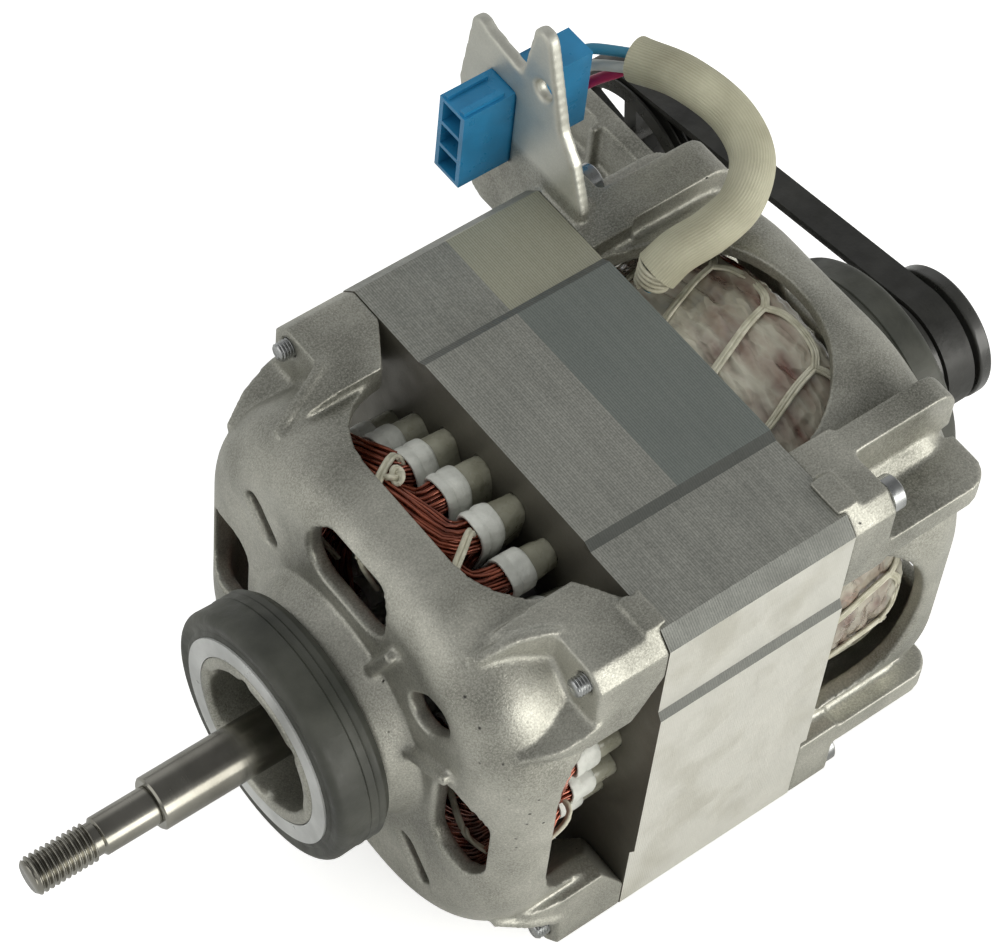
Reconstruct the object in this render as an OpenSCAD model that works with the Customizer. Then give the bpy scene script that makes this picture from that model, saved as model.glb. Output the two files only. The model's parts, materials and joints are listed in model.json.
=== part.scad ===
// Dryer motor: a two-pole induction motor with a square core between two cast bells.
// Each end sits in a rubber support ring, and a ribbed belt drives a second wheel.
// X runs along the shaft, with the threaded tip at -X. Z is up.
// The origin is on the shaft's axis, at the middle of the front rubber ring.

/* [Core] */
// Side of the square core
core_side = 124; // [118:1:132]
// Length of the core along the shaft
core_l = 55; // [45:1:70]
// Distance from the middle of the front ring to the core
core_x = 60; // [58:1:66]
// Bevel across each corner of the core
core_bevel = 4.2; // [2:0.2:5]
// Width of the raised middle facet on each side
facet_w = 60; // [40:1:64]
// Height of the raised facet
facet_rise = 1.4; // [0.6:0.1:2.2]
// Width of the slope on each side of the raised facet
facet_slope = 2.5; // [2:0.5:6]
// Radius of the core's bore
bore_r = 33; // [31:0.1:34]
// Number of slots round the bore
slot_count = 24; // [24:12:24]
// Radius at the bottom of the slots
slot_r = 53; // [52:0.1:54]
// Width of a slot
slot_w = 6.4; // [6.2:0.1:6.8]
// Width of the slot's mouth to the bore
slot_mouth = 2.4; // [1.6:0.1:3]

/* [Bells] */
// Wall of the cast bells
bell_wall = 4.5; // [3.5:0.1:5]
// Distance from the middle of the front ring to the front bell's face
face_x = 16; // [14:0.5:20]
// Corner radius of the front bell, seen along the shaft
front_corner_r = 43; // [36:1:46]
// Radius of the front bell's rounded edge
front_edge_r = 15; // [10:1:17]
// Length of the rear bell behind the core
rear_l = 48; // [46:1:54]
// Corner radius of the rear bell, seen along the shaft
rear_corner_r = 46; // [42:1:50]
// Radius of the rear bell's rounded edge
rear_edge_r = 13; // [9:1:16]
// Half width of the side windows in the front bell
window_half = 36; // [32:0.5:37]
// Length of the side windows in the front bell
window_l = 27; // [22:1:28]
// Corner radius of the front windows
window_r = 20; // [12:1:21]
// Radius of the arched windows in the rear bell
arch_r = 36; // [32:0.5:37]
// Length of the bolt lugs in front of the core
front_lug_l = 20; // [16:0.5:22]
// Length of the bolt lugs behind the core
rear_lug_l = 13; // [10:0.5:15]
// Wall of the hubs round their cups
hub_wall = 3.5; // [2.5:0.1:4.5]

/* [Vents] */
// Inner radius of the vents in the bells' faces
vent_in_r = 38; // [36:0.5:40]
// Outer radius of the vents
vent_out_r = 55; // [52:0.5:56]
// Width of the four large vents
vent_w = 29; // [24:1:32]
// Width of the two narrow slots
vent_slot_w = 5.6; // [4:0.2:7]
// Width of the two oval vents
vent_oval_w = 11.5; // [9:0.5:13]

/* [Support rings] */
// Outer radius of the rubber ring
ring_r = 33.5; // [31:0.5:36]
// Length of the rubber ring along the shaft
ring_l = 15; // [13:0.5:15.5]
// Thickness of the rubber
rubber_t = 5.8; // [4.5:0.1:7]
// Thickness of the insert that carries the rubber
insert_t = 5; // [3.5:0.1:6]

/* [Shaft and bearings] */
// Length of the shaft in front of the middle of the front ring
shaft_front_l = 71.5; // [65:0.5:85]
// Radius of the thin front end, which is also the thread's
tip_r = 5; // [4:0.5:6]
// Length of the threaded tip
thread_l = 16.5; // [12:0.5:18]
// Distance from the middle of the front ring to the step between thin and thick
step_x = 37.8; // [34:0.2:42]
// Radius of the thick front part of the shaft
shaft_r = 7; // [6.5:0.1:7.2]
// Bore radius of both bearings
bearing_bore_r = 7.5; // [7.5:0.1:8]
// Outer radius of both bearings
bearing_r = 17.5; // [17:0.1:17.8]
// Width of both bearings
bearing_w = 11; // [10:0.5:12]
// Radius of a bearing ball
ball_r = 2.9; // [2.6:0.1:3]
// Number of balls in a bearing
ball_count = 8; // [6:1:9]
// Air gap between the rotor and the core
air_gap = 0.4; // [0.3:0.05:0.8]
// Number of bars in the rotor's cage
bar_count = 22; // [16:1:26]

/* [Bolts] */
// Distance of the through bolts from the shaft's axis, along Y and along Z
bolt_off = 56.4; // [56:0.1:56.8]
// Radius of the through bolts
bolt_r = 2.5; // [2:0.1:2.6]
// Length of thread that shows in front of the lugs
bolt_proud = 3.2; // [2:0.2:5]
// Radius of the bolt heads
bolt_head_r = 4.6; // [4.2:0.1:5]
// Height of the bolt heads
bolt_head_h = 4; // [3:0.5:5]

/* [Windings] */
// Diameter of a bundle of the main winding
main_d = 5.1; // [4.6:0.1:5.2]
// Diameter of a bundle of the start winding
start_d = 4.7; // [4.2:0.1:4.8]
// Diameter of the lacing cord
lacing_d = 1.4; // [1:0.1:1.5]
// Length of liner that sticks out of the core at each end
liner_out = 8; // [6:0.5:9]
// Length of the folded cuffs over the liners' ends
cuff_l = 7; // [5:0.5:8]

/* [Belt drive] */
// Radius at which the belt's ribs seat on the motor pulley
pulley_seat_r = 14.8; // [13:0.1:16]
// Radius at which the belt's ribs seat on the second wheel
wheel_seat_r = 27.5; // [24:0.1:27.6]
// Place of the second wheel's axle along Y
wheel_y = 108; // [104:0.5:116]
// Place of the second wheel's axle along Z
wheel_z = -32.2; // [-32.4:0.2:-28]
// Distance from the middle of the front ring to the belt
belt_x = 195; // [194.5:0.5:200]
// Number of ribs on the belt
rib_count = 4; // [3:1:5]
// Distance from rib to rib
rib_pitch = 2.34; // [2.2:0.02:2.4]
// Radius of the second wheel's axle
axle_r = 5; // [4:0.5:6]

/* [Connector] */
// Thickness of the cast plate that holds the connector
plate_t = 3.5; // [3:0.1:5]
// Width of the connector along Y
conn_w = 9.6; // [9.2:0.1:11]
// Height of the connector along Z
conn_h = 25; // [24.6:0.1:27]
// Length of the connector along the shaft
conn_l = 39; // [34:1:42]
// Distance between the connector's three ways
way_pitch = 8; // [7.8:0.1:8.4]
// Diameter of a lead
lead_d = 2.8; // [2:0.1:3]
// Outer diameter of the woven sleeve over the leads
sleeve_d = 11.4; // [10.6:0.1:12]

/* [Hidden] */
$fn = 96;

cut = 1;                               // how far a cutting shape runs past a face
slip = 0.05;                           // clearance between turned parts that fit together
seat_gap = 0.1;                        // clearance between parts that are laid in

insert_r = ring_r - rubber_t;
hub_r = insert_r - insert_t;
cup_r = hub_r - hub_wall;              // cups in the hubs, outside the bearings

core_half = core_side / 2;
core_end = core_x + core_l;
facet_half = core_half + facet_rise;
slot_in_r = bore_r + 4.5;
slot_mid_r = (slot_in_r + slot_r) / 2;
slot_pitch = 360 / slot_count;
lug_in = 36.5;                         // inner faces of the bolt lugs, from the axis
pocket_in = 45.5;                      // inner faces of the bolt pockets, from the axis
front_lug_x = core_x - front_lug_l;
shoulder_x = face_x + 9;               // where the front shoulders leave the dish
rear_lug_x = core_end + rear_lug_l;
rear_half = core_half - 1;
rear_face_x = core_end + rear_l;
cavity_half = core_half - bell_wall;

shoulder_t = 1.5;                      // shoulder that stops each bearing
front_seat_x = face_x - 2;             // front face of the front bearing
rear_seat_x = rear_face_x - 7;         // front face of the rear bearing
washer_space = 1.3;                    // room for the wave washer behind the rear bearing
hub_front_x = -ring_l / 2 - 1;         // front rim of the front hub
rear_ring_x = rear_face_x + 7;         // front face of the rear rubber ring
hub_rear_x = rear_ring_x + ring_l + 0.7;
race_in_r = 11;
race_out_r = 14;
ball_circle_r = (race_in_r + race_out_r) / 2;
groove_r = ball_r + 0.08;
clip_t = 1;                            // thickness of the retaining rings
rotor_shaft_r = 9;
rotor_r = bore_r - air_gap;
cage_ring_l = 9;

// The cuffs end where the bundles start to bend.
cuff_end = core_x - liner_out + 1.5 - cuff_l;
rear_cuff_end = core_end + core_x - cuff_end;
main_slot_r = slot_r - 4;
start_slot_r = slot_in_r + 3.5;
arch_rings = 12;
level_step = 3.2;                      // each larger coil arches this much farther out
main_low = 4.9;                        // depth of the smallest main arch past the cuffs
start_low = 6.6;                       // depth of the smallest start arch past the cuffs
main_rise = 3.2;                       // odd coils of the main winding arch farther out
start_dip = 5.7;                       // odd coils of the start winding arch farther in
pole_angle = 45;
lacing_turns = slot_count / 2;

belt_rib_h = 1.9;
belt_t = 3.5;
belt_w = rib_count * rib_pitch;
ridge_h = 1.7;                         // height of a pulley's ridges over the belt's seat
groove_deep = 0.4;                     // depth of a pulley's grooves under the belt's seat
belt_lift = 0.1;                       // the belt's rib tips ride this much over the seat
belt_side = 0.25;                      // the belt is this much narrower than the ribs' width
flange_gap = 0.3;                      // room between the ribs' width and a flange
wheel_dist = norm([wheel_y, wheel_z]);
wheel_dir = atan2(wheel_z, wheel_y);
belt_lean = asin((wheel_seat_r - pulley_seat_r) / wheel_dist);
belt_run = sqrt(pow(wheel_dist, 2) - pow(wheel_seat_r - pulley_seat_r, 2));
track_ribs = 7;
track_seat_r = 11.5;

web_x = rear_ring_x + 6;               // front face of the arm's web
web_t = 6;
arm_boss_r = 9.5;
axle_boss_x = web_x + web_t + 6;
axle_washer_t = 1;
hub_gap = 0.3;
wheel_hub_x = axle_boss_x + axle_washer_t + hub_gap;
rim_flange_t = 0.6;
wheel_rim_x = belt_x - flange_gap - rim_flange_t;
wheel_rim_l = belt_w + 2 * (flange_gap + rim_flange_t);
track_l = track_ribs * rib_pitch + 1.6;
wheel_end = wheel_rim_x + wheel_rim_l + track_l;

plate_x = core_end + 1;
conn_y = core_half + 14;
conn_z = core_half + 9.5;
plate_hole = [-0.7, 32.1];             // hole in the short prong, from the core's corner
plate_hole_r = 2.8;
conn_front_x = plate_x - 15;
conn_back_x = conn_front_x + conn_l;
cavity_l = 26;

// The leads' routes are chosen by hand. Each lead runs through the sleeve to the windings.
sleeve_route = [[150, 66, 80], [154, 53, 83], [158, 40, 80], [156.5, 29, 75.5], [148, 22, 71.8],
    [138, 20.5, 69.2], [128.8, 21.5, 66.6], [123.4, 22.2, 62]];
lead_start = 8;                        // straight stretch behind the connector
lead_tail = [[121.8, 22, 58]];
lead_off = 2;                          // distance of each lead from the sleeve's middle
lead_wall = 1;                         // wall of the sleeve

// Places

module along_x(x = 0) {
    translate([x, 0, 0]) rotate([90, 0, 90]) children();
}

// In the frame of along_x, the children's plane stands across Y and runs up Z and along X.
module across_y(y = 0) {
    translate([y, 0, 0]) rotate([90, 0, 90]) children();
}

module quarters() {
    for (i = [0 : 3]) rotate([0, 0, 90 * i]) children();
}

module diagonal_pair() {
    children();
    mirror([1, -1, 0]) children();
}

// Plain shapes

module tube(r_out, r_in, h) {
    difference() {
        cylinder(r = r_out, h = h);
        translate([0, 0, -cut]) cylinder(r = r_in, h = h + 2 * cut);
    }
}

module rounded_rect(w, h, r) {
    square([w - 2 * r, h], center = true);
    square([w, h - 2 * r], center = true);
    for (x = [-1, 1], y = [-1, 1]) translate([x * (w / 2 - r), y * (h / 2 - r)]) circle(r);
}

// Half section of a dish: radius along X, length along Y, rounded at its closed end.
module dish_section(rc, re, l) {
    translate([0, re]) square([rc, l - re]);
    square([rc - re, l]);
    translate([rc - re, re]) circle(re);
}

// A closed rounded block: its corners are revolved and its sides extruded.
module dish(half, rc, re, l) {
    c = half - rc;
    quarters() {
        translate([c, c, 0]) rotate_extrude(angle = 90) dish_section(rc, re, l);
        rotate([90, 0, 0]) linear_extrude(2 * c, center = true)
            translate([c, 0]) dish_section(rc, re, l);
    }
    translate([-c, -c, 0]) cube([2 * c, 2 * c, l]);
}

// Bells

// Cutters of the vents, through a face that lies across the axis.
module vents(depth) {
    mid = (vent_in_r + vent_out_r) / 2;
    len = vent_out_r - vent_in_r;
    quarters() translate([mid, 0, 0]) linear_extrude(depth) rounded_rect(len, vent_w, 7);
    for (a = [45, 225]) rotate([0, 0, a]) translate([mid, 0, 0]) linear_extrude(depth)
        rounded_rect(len - 2, vent_slot_w, vent_slot_w / 2 - 0.01);
    for (a = [135, 315]) rotate([0, 0, a]) translate([mid, 0, 0]) linear_extrude(depth)
        rounded_rect(len - 1, vent_oval_w, vent_oval_w / 2 - 0.01);
}

// Pairs of radial ribs beside the oval vents, and a raised lip round one large vent.
module face_ribs(face_z, height) {
    rib_w = 3;
    for (a = [135, 315], s = [-1, 1]) rotate([0, 0, a + 20 * s])
        translate([hub_r, -rib_w / 2, face_z - height]) cube([25, rib_w, height + 2]);
}

module lug_block(x0, x1, half) {
    translate([0, 0, x0]) linear_extrude(x1 - x0) polygon([
        [lug_in, lug_in], [half, lug_in], [half, half - core_bevel],
        [half - core_bevel, half], [lug_in, half]]);
}

// Shoulder beside a bolt pocket: it rises from the dish to the top of the lug. A ridge runs
// along its edge and outwards to the pocket.
module front_shoulder() {
    root = core_half - 22;
    splay = 6.5;
    ridge_w = 2.4;
    intersection() {
        shoulder_rise(root, 0, core_x);
        plan_prism(root) polygon([[window_half, shoulder_x], [pocket_in - splay, shoulder_x],
            [pocket_in - splay / 2, front_lug_x - 7], [pocket_in, front_lug_x], [pocket_in, core_x],
            [window_half, core_x]]);
    }
    intersection() {
        shoulder_rise(root, 1, front_lug_x + ridge_w);
        plan_prism(root) polygon([[pocket_in - splay, shoulder_x - 2],
            [pocket_in - splay / 2, front_lug_x - 7], [pocket_in, front_lug_x],
            [pocket_in, front_lug_x + ridge_w], [pocket_in - ridge_w, front_lug_x],
            [pocket_in - splay / 2 - ridge_w, front_lug_x - 7],
            [pocket_in - splay - ridge_w, shoulder_x - 2]]);
    }
}

// Side profile of a shoulder up to end_x, raised by lift.
module shoulder_rise(root, lift, end_x) {
    top = core_half + lift;
    across_y(window_half) linear_extrude(pocket_in - window_half) polygon([
        [root, shoulder_x - 2 * lift], [top - 6, shoulder_x - 2 * lift], [top - 1.5, front_lug_x - 9],
        [top - 0.3, front_lug_x - 3], [top, front_lug_x], [top, end_x], [root, end_x]]);
}

// In the frame of along_x, the children's plane lies flat, along Y and X, and is extruded up
// from a height to above the bell.
module plan_prism(z0) {
    translate([0, core_side, 0]) rotate([90, 0, 0]) linear_extrude(core_side - z0) children();
}

// Space between the core's face and the inner end of a front lug.
module lug_notch() {
    notch_l = 7.5;
    plan_prism(lug_in - 3) polygon([[lug_in - 3, core_x + cut], [lug_in - 3, core_x - notch_l],
        [lug_in, core_x - notch_l], [pocket_in + 2.5, core_x], [pocket_in + 2.5, core_x + cut]]);
}

// Lips that lap over the core's top and bottom faces, at two opposite corners.
module core_lips(root_x, lip_x) {
    lip_w = 11;
    root_l = 4;
    lip_l = 6.5;
    for (i = [0, 1]) rotate([0, 0, 180 * i]) translate([-pocket_in - 1 - lip_w, core_half, 0]) {
        translate([0, -1, root_x]) cube([lip_w, 1 + facet_rise, root_l]);
        translate([0, slip, lip_x]) cube([lip_w, facet_rise - slip, lip_l]);
    }
}

module front_hub() {
    along_x() {
        translate([0, 0, hub_front_x]) cylinder(r = hub_r, h = face_x + 11 - hub_front_x);
        rotate_extrude() polygon([[0, ring_l / 2 + 0.5], [insert_r + 1.3, ring_l / 2 + 0.5],
            [ring_r, face_x + 1], [0, face_x + 1]]);
    }
}

module front_hub_cuts() {
    along_x() {
        translate([0, 0, hub_front_x - cut])
            cylinder(r = cup_r, h = front_seat_x - shoulder_t - hub_front_x + cut);
        translate([0, 0, hub_front_x]) cylinder(r = bearing_r - 4, h = 50);
        translate([0, 0, front_seat_x]) cylinder(r = bearing_r + slip, h = 50);
        for (i = [0 : 5]) rotate([0, 0, 60 * i + 15]) translate([cup_r - 1, -1.6, hub_front_x - cut])
            cube([2.4, 3.2, cut + 1.6]);
    }
}

module front_bell() color("silver") difference() {
    union() {
        along_x(face_x) dish(core_half, front_corner_r, front_edge_r, core_x - face_x);
        along_x() quarters() {
            lug_block(front_lug_x, core_x, core_half);
            diagonal_pair() front_shoulder();
        }
        along_x() core_lips(core_x - 4, core_x - 4);
        along_x() face_ribs(face_x + 6, 9);
        front_hub();
    }
    along_x(face_x + bell_wall) dish(cavity_half, front_corner_r - bell_wall,
        front_edge_r - bell_wall, core_x - face_x);
    front_hub_cuts();
    windows();
    along_x(face_x - 10) vents(front_edge_r + 12);
    along_x() quarters() {
        diagonal_pair() lug_notch();
        translate([bolt_off, bolt_off, front_lug_x - 20]) cylinder(r = bolt_r + slip, h = front_lug_l + 25);
    }
}

// The side windows reach from the core towards the face, on all four sides.
module windows() {
    x0 = core_x - window_l;
    len = 2 * window_l;
    for (a = [0, 90]) rotate([a, 0, 0]) linear_extrude(2 * core_side, center = true)
        translate([x0 + len / 2, 0]) rounded_rect(len, 2 * window_half, window_r);
}

// Ear beside a rear bolt pocket: a band level with the lug, which runs back to a round end.
module rear_ear(wider = 0) {
    z0 = rear_half - 14;
    ear_end = rear_face_x - 2;
    end_r = 7;
    across_y(arch_r + 2) linear_extrude(pocket_in + wider - arch_r - 2) union() {
        translate([z0, core_end]) square([core_half - z0, ear_end - end_r - core_end]);
        translate([z0, ear_end - end_r - 1]) square([core_half - end_r - z0, end_r + 1]);
        translate([core_half - end_r, ear_end - end_r]) circle(r = end_r);
    }
}

// Ear on the underside: it tapers from the lug up to the bell's face.
module lower_ear() {
    z0 = rear_half - 14;
    across_y(arch_r + 2) linear_extrude(pocket_in - arch_r - 2) polygon([[z0, core_end],
        [core_half, core_end], [core_half, rear_lug_x + 3], [z0 + 2, rear_face_x - 1],
        [z0, rear_face_x - 1]]);
}

module rear_hub() {
    along_x() {
        translate([0, 0, rear_seat_x - 1]) cylinder(r = hub_r, h = hub_rear_x - rear_seat_x + 1);
        rotate_extrude() polygon([[0, rear_ring_x - 0.5], [insert_r + 1.3, rear_ring_x - 0.5],
            [ring_r, rear_face_x - 1], [0, rear_face_x - 1]]);
    }
}

module rear_hub_cuts() {
    seat_l = bearing_w + washer_space;
    along_x() {
        translate([0, 0, rear_seat_x - 30]) cylinder(r = bearing_r + slip, h = 30 + seat_l);
        translate([0, 0, rear_seat_x]) cylinder(r = bearing_r - 5, h = 60);
        translate([0, 0, rear_seat_x + seat_l + shoulder_t]) cylinder(r = cup_r, h = 40);
    }
}

// Arm to the second wheel: a web with gussets down to the bell and a boss for the axle.
module arm_outline() {
    top = wheel_z + 37.2;
    end_r = 30;
    difference() {
        union() {
            translate([wheel_y + 2, top - end_r]) circle(end_r);
            translate([wheel_y, wheel_z]) circle(end_r);
            polygon([[36, top], [wheel_y + 2, top], [wheel_y, wheel_z - end_r], [58, -46], [36, -34]]);
        }
        circle(ring_r + 3);
    }
}

// Three curved openings round the axle's boss.
module arm_windows() {
    difference() {
        circle(20);
        circle(arm_boss_r - 0.5);
        for (a = [20, 140, 260]) rotate([0, 0, a]) translate([0, -2.5]) square([30, 5]);
    }
}

module gusset(z) {
    translate([0, 0, z]) linear_extrude(4) polygon([[rear_face_x - 22, 50], [rear_face_x - 22, 56],
        [web_x + 1, 84], [web_x + web_t, 84], [web_x + web_t, 50]]);
}

module wheel_arm() {
    along_x(web_x) linear_extrude(web_t) difference() {
        arm_outline();
        translate([wheel_y, wheel_z]) arm_windows();
    }
    along_x() {
        translate([wheel_y, wheel_z, web_x - 4]) cylinder(r = arm_boss_r, h = axle_boss_x - web_x + 4);
        translate([101, wheel_z + 20, web_x - 3]) cube([2.5, 16, 4]);
        translate([86, wheel_z + 18.5, web_x - 3]) cube([44, 2.5, 4]);
    }
    for (z = [wheel_z + 33.2, -16, -36]) gusset(z);
}

// Plate with two prongs, cast on the corner lug at +Y and +Z. It holds the connector.
module connector_plate() {
    prong_r = 3.5;
    along_x(plate_x) linear_extrude(plate_t) difference() {
        union() {
            at_corner() polygon([[-16, -12], [0, -24], [17, -26], [22, -24], [30.3, 9], [27.6, 31],
                [21.8, 33], [7.7, 31], [5.1, 48.4], [-1.5, 47.4], [-8.5, 24], [-14, 17], [-19, 4]]);
            at_corner() translate([24.2, 30.7]) circle(prong_r);
            at_corner() translate([1.9, 46.6]) circle(prong_r);
        }
        at_corner() translate(plate_hole) circle(plate_hole_r);
        translate([conn_y, conn_z]) square([conn_w + 2 * seat_gap, conn_h + 2 * seat_gap], center = true);
    }
    along_x(plate_x) linear_extrude(2 * plate_t) at_corner()
        polygon([[-18, -2], [0, -20], [4, -16], [-14, 2]]);
}

module at_corner() {
    translate([core_half, core_half]) children();
}

// Two ears at each corner. The one at the connector's foot is wider.
module rear_ears() {
    for (a = [90, 180, 270]) rotate([0, 0, a]) mirror([1, -1, 0]) {
        if (a != 270) rear_ear();
        else lower_ear();
    }
    for (a = [0, 90, 180, 270]) rotate([0, 0, a]) {
        if (a == 0) rear_ear(4.5);
        else if (a == 180) lower_ear();
        else rear_ear();
    }
    mirror([1, -1, 0]) rear_ear();
}

module rear_bell() color("silver") difference() {
    union() {
        along_x(rear_face_x) mirror([0, 0, 1])
            dish(rear_half, rear_corner_r, rear_edge_r, rear_l);
        along_x() quarters() lug_block(core_end, rear_lug_x, core_half);
        along_x() rear_ears();
        along_x() core_lips(core_end, core_end - 2.5);
        rear_hub();
        wheel_arm();
        connector_plate();
    }
    along_x(rear_face_x - bell_wall) mirror([0, 0, 1]) dish(rear_half - bell_wall,
        rear_corner_r - bell_wall, rear_edge_r - bell_wall, rear_l);
    rear_hub_cuts();
    arches();
    along_x(rear_face_x - rear_edge_r + 5) vents(rear_edge_r);
    along_x(core_end - cut) quarters() translate([bolt_off, bolt_off, 0]) {
        cylinder(r = bolt_r + 0.3, h = rear_lug_l + 2 * cut);
        translate([0, 0, rear_lug_l + cut]) cylinder(r = bolt_head_r + 1.2, h = rear_l);
    }
    along_x(web_x - 10) translate([wheel_y, wheel_z, 0]) cylinder(r = axle_r + slip, h = 40);
}

// The arched windows of the rear bell, on all four sides.
module arches() {
    for (a = [0, 90]) rotate([a, 0, 0]) linear_extrude(2 * core_side, center = true) {
        translate([core_end - 2, 0]) circle(arch_r);
        translate([core_end - arch_r, -arch_r]) square([arch_r - 2, 2 * arch_r]);
    }
}

// Core

module facet_outline() {
    top = facet_w / 2;
    foot = top + facet_slope;
    for (i = [0 : 3]) rotate([0, 0, 90 * i]) polygon([[-foot, 0], [foot, 0], [foot, core_half],
        [top, facet_half], [-top, facet_half], [-foot, core_half]]);
}

module slot_outline() {
    r = 2;
    len = slot_r - slot_in_r;
    translate([slot_mid_r, 0]) rounded_rect(len, slot_w, r);
    translate([bore_r - cut, -slot_mouth / 2]) square([slot_in_r - bore_r + 2 * cut, slot_mouth]);
}

module at_slots() {
    for (i = [0 : slot_count - 1]) rotate([0, 0, pole_angle + (i + 0.5) * slot_pitch]) children();
}

module stator_core() color("dimgray") along_x(core_x) linear_extrude(core_l) difference() {
    union() {
        a = core_half;
        b = core_half - core_bevel;
        polygon([[a, b], [b, a], [-b, a], [-a, b], [-a, -b], [-b, -a], [b, -a], [a, -b]]);
        facet_outline();
    }
    circle(bore_r);
    at_slots() slot_outline();
    for (y = [-1, 1], z = [-1, 1]) translate([y * bolt_off, z * bolt_off]) circle(bolt_r + 0.3);
}

module slot_liners() color("beige") along_x(core_x - liner_out) {
    t = 0.35;
    len = slot_r - slot_in_r - 2 * seat_gap;
    w = slot_w - 2 * seat_gap;
    at_slots() translate([slot_mid_r, 0, 0]) linear_extrude(core_l + 2 * liner_out) difference() {
        rounded_rect(len, w, 1.9);
        rounded_rect(len - 2 * t, w - 2 * t, 1.9 - t);
    }
}

module coil_cuffs() color("white") {
    t = 0.8;
    len = slot_r - slot_in_r;
    for (x = [cuff_end, rear_cuff_end - cuff_l]) along_x(x)
        at_slots() translate([slot_mid_r, 0, 0]) linear_extrude(cuff_l) difference() {
            rounded_rect(len + 2 * t, slot_w + 2 * t, 2 + t);
            rounded_rect(len, slot_w, 2);
        }
}

// Windings: each is one tube that goes through slot after slot.

function polar(r, a, x) = [x, r * cos(a), r * sin(a)];

// One arch outside the core, from angle a0 to a1. It starts and ends straight at the cuffs.
function arch(a0, a1, r0, r1, x0, x1) = [for (i = [0 : arch_rings - 1])
    let (t = i / (arch_rings - 1), b = pow(sin(180 * t), 0.55), s = (1 - cos(180 * t)) / 2)
    polar(r0 + (r1 - r0) * b, a0 + (a1 - a0) * s, x0 + (x1 - x0) * b)];

function arch_front(a0, a1, r0, r1, depth) = arch(a0, a1, r0, r1, cuff_end, cuff_end - depth);
function arch_rear(a0, a1, r0, r1, depth) =
    arch(a0, a1, r0, r1, rear_cuff_end, rear_cuff_end + depth);

// Points of a winding with two poles of n coils. The first pole is wound from its smallest
// coil outwards and the second from its largest coil inwards, so one tube joins both.
function winding(pole, n, first, r0, r_odd, r_even, low) = let (
        half = function(k) (first + k) * slot_pitch,
        r1 = function(k) k % 2 == 1 ? r_odd : r_even,
        depth = function(k) low + (k - 1) * level_step,
        far = pole + 180)
    concat(
        [polar(r0, pole - half(1), cuff_end + main_d / 2)],
        [for (k = [1 : n]) each concat(
            arch_rear(pole - half(k), pole + half(k), r0, r1(k), depth(k)),
            arch_front(pole + half(k), k < n ? pole - half(k + 1) : far - half(n),
                r0, r1(k), k < n ? depth(k) : depth(1)))],
        [for (k = [n : -1 : 1]) each concat(
            arch_rear(far - half(k), far + half(k), r0, r1(k), depth(k)),
            k > 1 ? arch_front(far + half(k), far - half(k - 1), r0, r1(k), depth(k))
                : [polar(r0, far + half(1), cuff_end + main_d / 2)])]);

function unit(v) = v / norm(v);

// Frame across a path at point i: one axis points away from the middle line of the motor.
function path_dir(p, i) = unit(p[min(i + 1, len(p) - 1)] - p[max(i - 1, 0)]);
function side_axis(v, d) = unit(v - (v * d) * d);

// Rings of a tube along a path that runs round the shaft.
function round_rings(p, r, sides) = [for (i = [0 : len(p) - 1])
    let (d = path_dir(p, i), n = side_axis([0, p[i][1], p[i][2]], d), b = cross(d, n))
    for (j = [0 : sides - 1]) let (a = 360 * j / sides) p[i] + r * (cos(a) * n + sin(a) * b)];

function tube_faces(rings, sides) = concat(
    [for (i = [1 : sides - 2]) [0, i, i + 1]],
    [for (i = [0 : rings - 2], j = [0 : sides - 1], k = [0, 1])
        let (a = i * sides + j, b = i * sides + (j + 1) % sides)
        k == 0 ? [a, b + sides, b] : [a, a + sides, b + sides]],
    [for (i = [1 : sides - 2]) let (e = (rings - 1) * sides) [e, e + i + 1, e + i]]);

// Least gap between stretches of one tube, measured on points along it.
function fine(p) = [for (i = [0 : len(p) - 2], t = [0, 0.33, 0.67]) p[i] + t * (p[i + 1] - p[i])];
function path_gap(p, d) = let (q = fine(p), n = len(q),
    run = [for (i = 0, s = 0; i < n; s = s + norm(q[min(i + 1, n - 1)] - q[i]), i = i + 1) s])
    min([for (i = [0 : n - 2], j = [i + 1 : n - 1]) if (run[j] - run[i] > 2.5 * d)
        norm(q[i] - q[j])]) - d;

module wound_tube(p, d, name) {
    sides = 6;
    echo(str(name, ": least gap to itself ", path_gap(p, d), " mm"));
    polyhedron(round_rings(p, d / 2, sides), tube_faces(len(p), sides), convexity = 10);
}

main_arch_r = main_slot_r + 0.2;
start_arch_r = start_slot_r - 0.5;
main_path = winding(pole_angle, 5, 0.5, main_slot_r, main_arch_r + main_rise,
    main_arch_r - 2.6, main_low);
start_path = winding(pole_angle + 90, 4, 1.5, start_slot_r, start_arch_r - start_dip,
    start_arch_r, start_low);

module main_winding() color("sienna") wound_tube(main_path, main_d, "main winding");
module start_winding() color("peru") wound_tube(start_path, start_d, "start winding");

film_out_r = main_arch_r + main_rise + main_d / 2 + 0.4;
film_in_r = start_arch_r - start_dip - start_d / 2 - 0.6;
film_end = rear_cuff_end + main_low + 4 * level_step + main_d / 2 + 0.5;

// Film folded over the rear end turns: outer wall, crown and inner wall.
module winding_film() color("mistyrose") {
    t = 0.3;
    rim_x = rear_cuff_end + 3;
    fold_r = 4;
    w = film_out_r - film_in_r;
    l = 2 * (film_end - rim_x);
    along_x() rotate_extrude() difference() {
        translate([film_in_r + w / 2, rim_x]) rounded_rect(w + 2 * t, l + 2 * t, fold_r + t);
        translate([film_in_r + w / 2, rim_x]) rounded_rect(w, l, fold_r);
        translate([film_in_r - 1, rim_x - l]) square([w + 2, l]);
    }
}

// Lacing: each turn passes between two cuffs and goes round all the bundles.
lacing_ring = [[0, 1, 0], [0.5, 1, 0], [1, 1, 0], [1, 0.22, 0.15], [0.97, 0.05, 0.2], [0.84, 0, 0.3],
    [0.16, 0, 0.7], [0.03, 0.05, 0.8], [0, 0.22, 0.85]];

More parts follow.
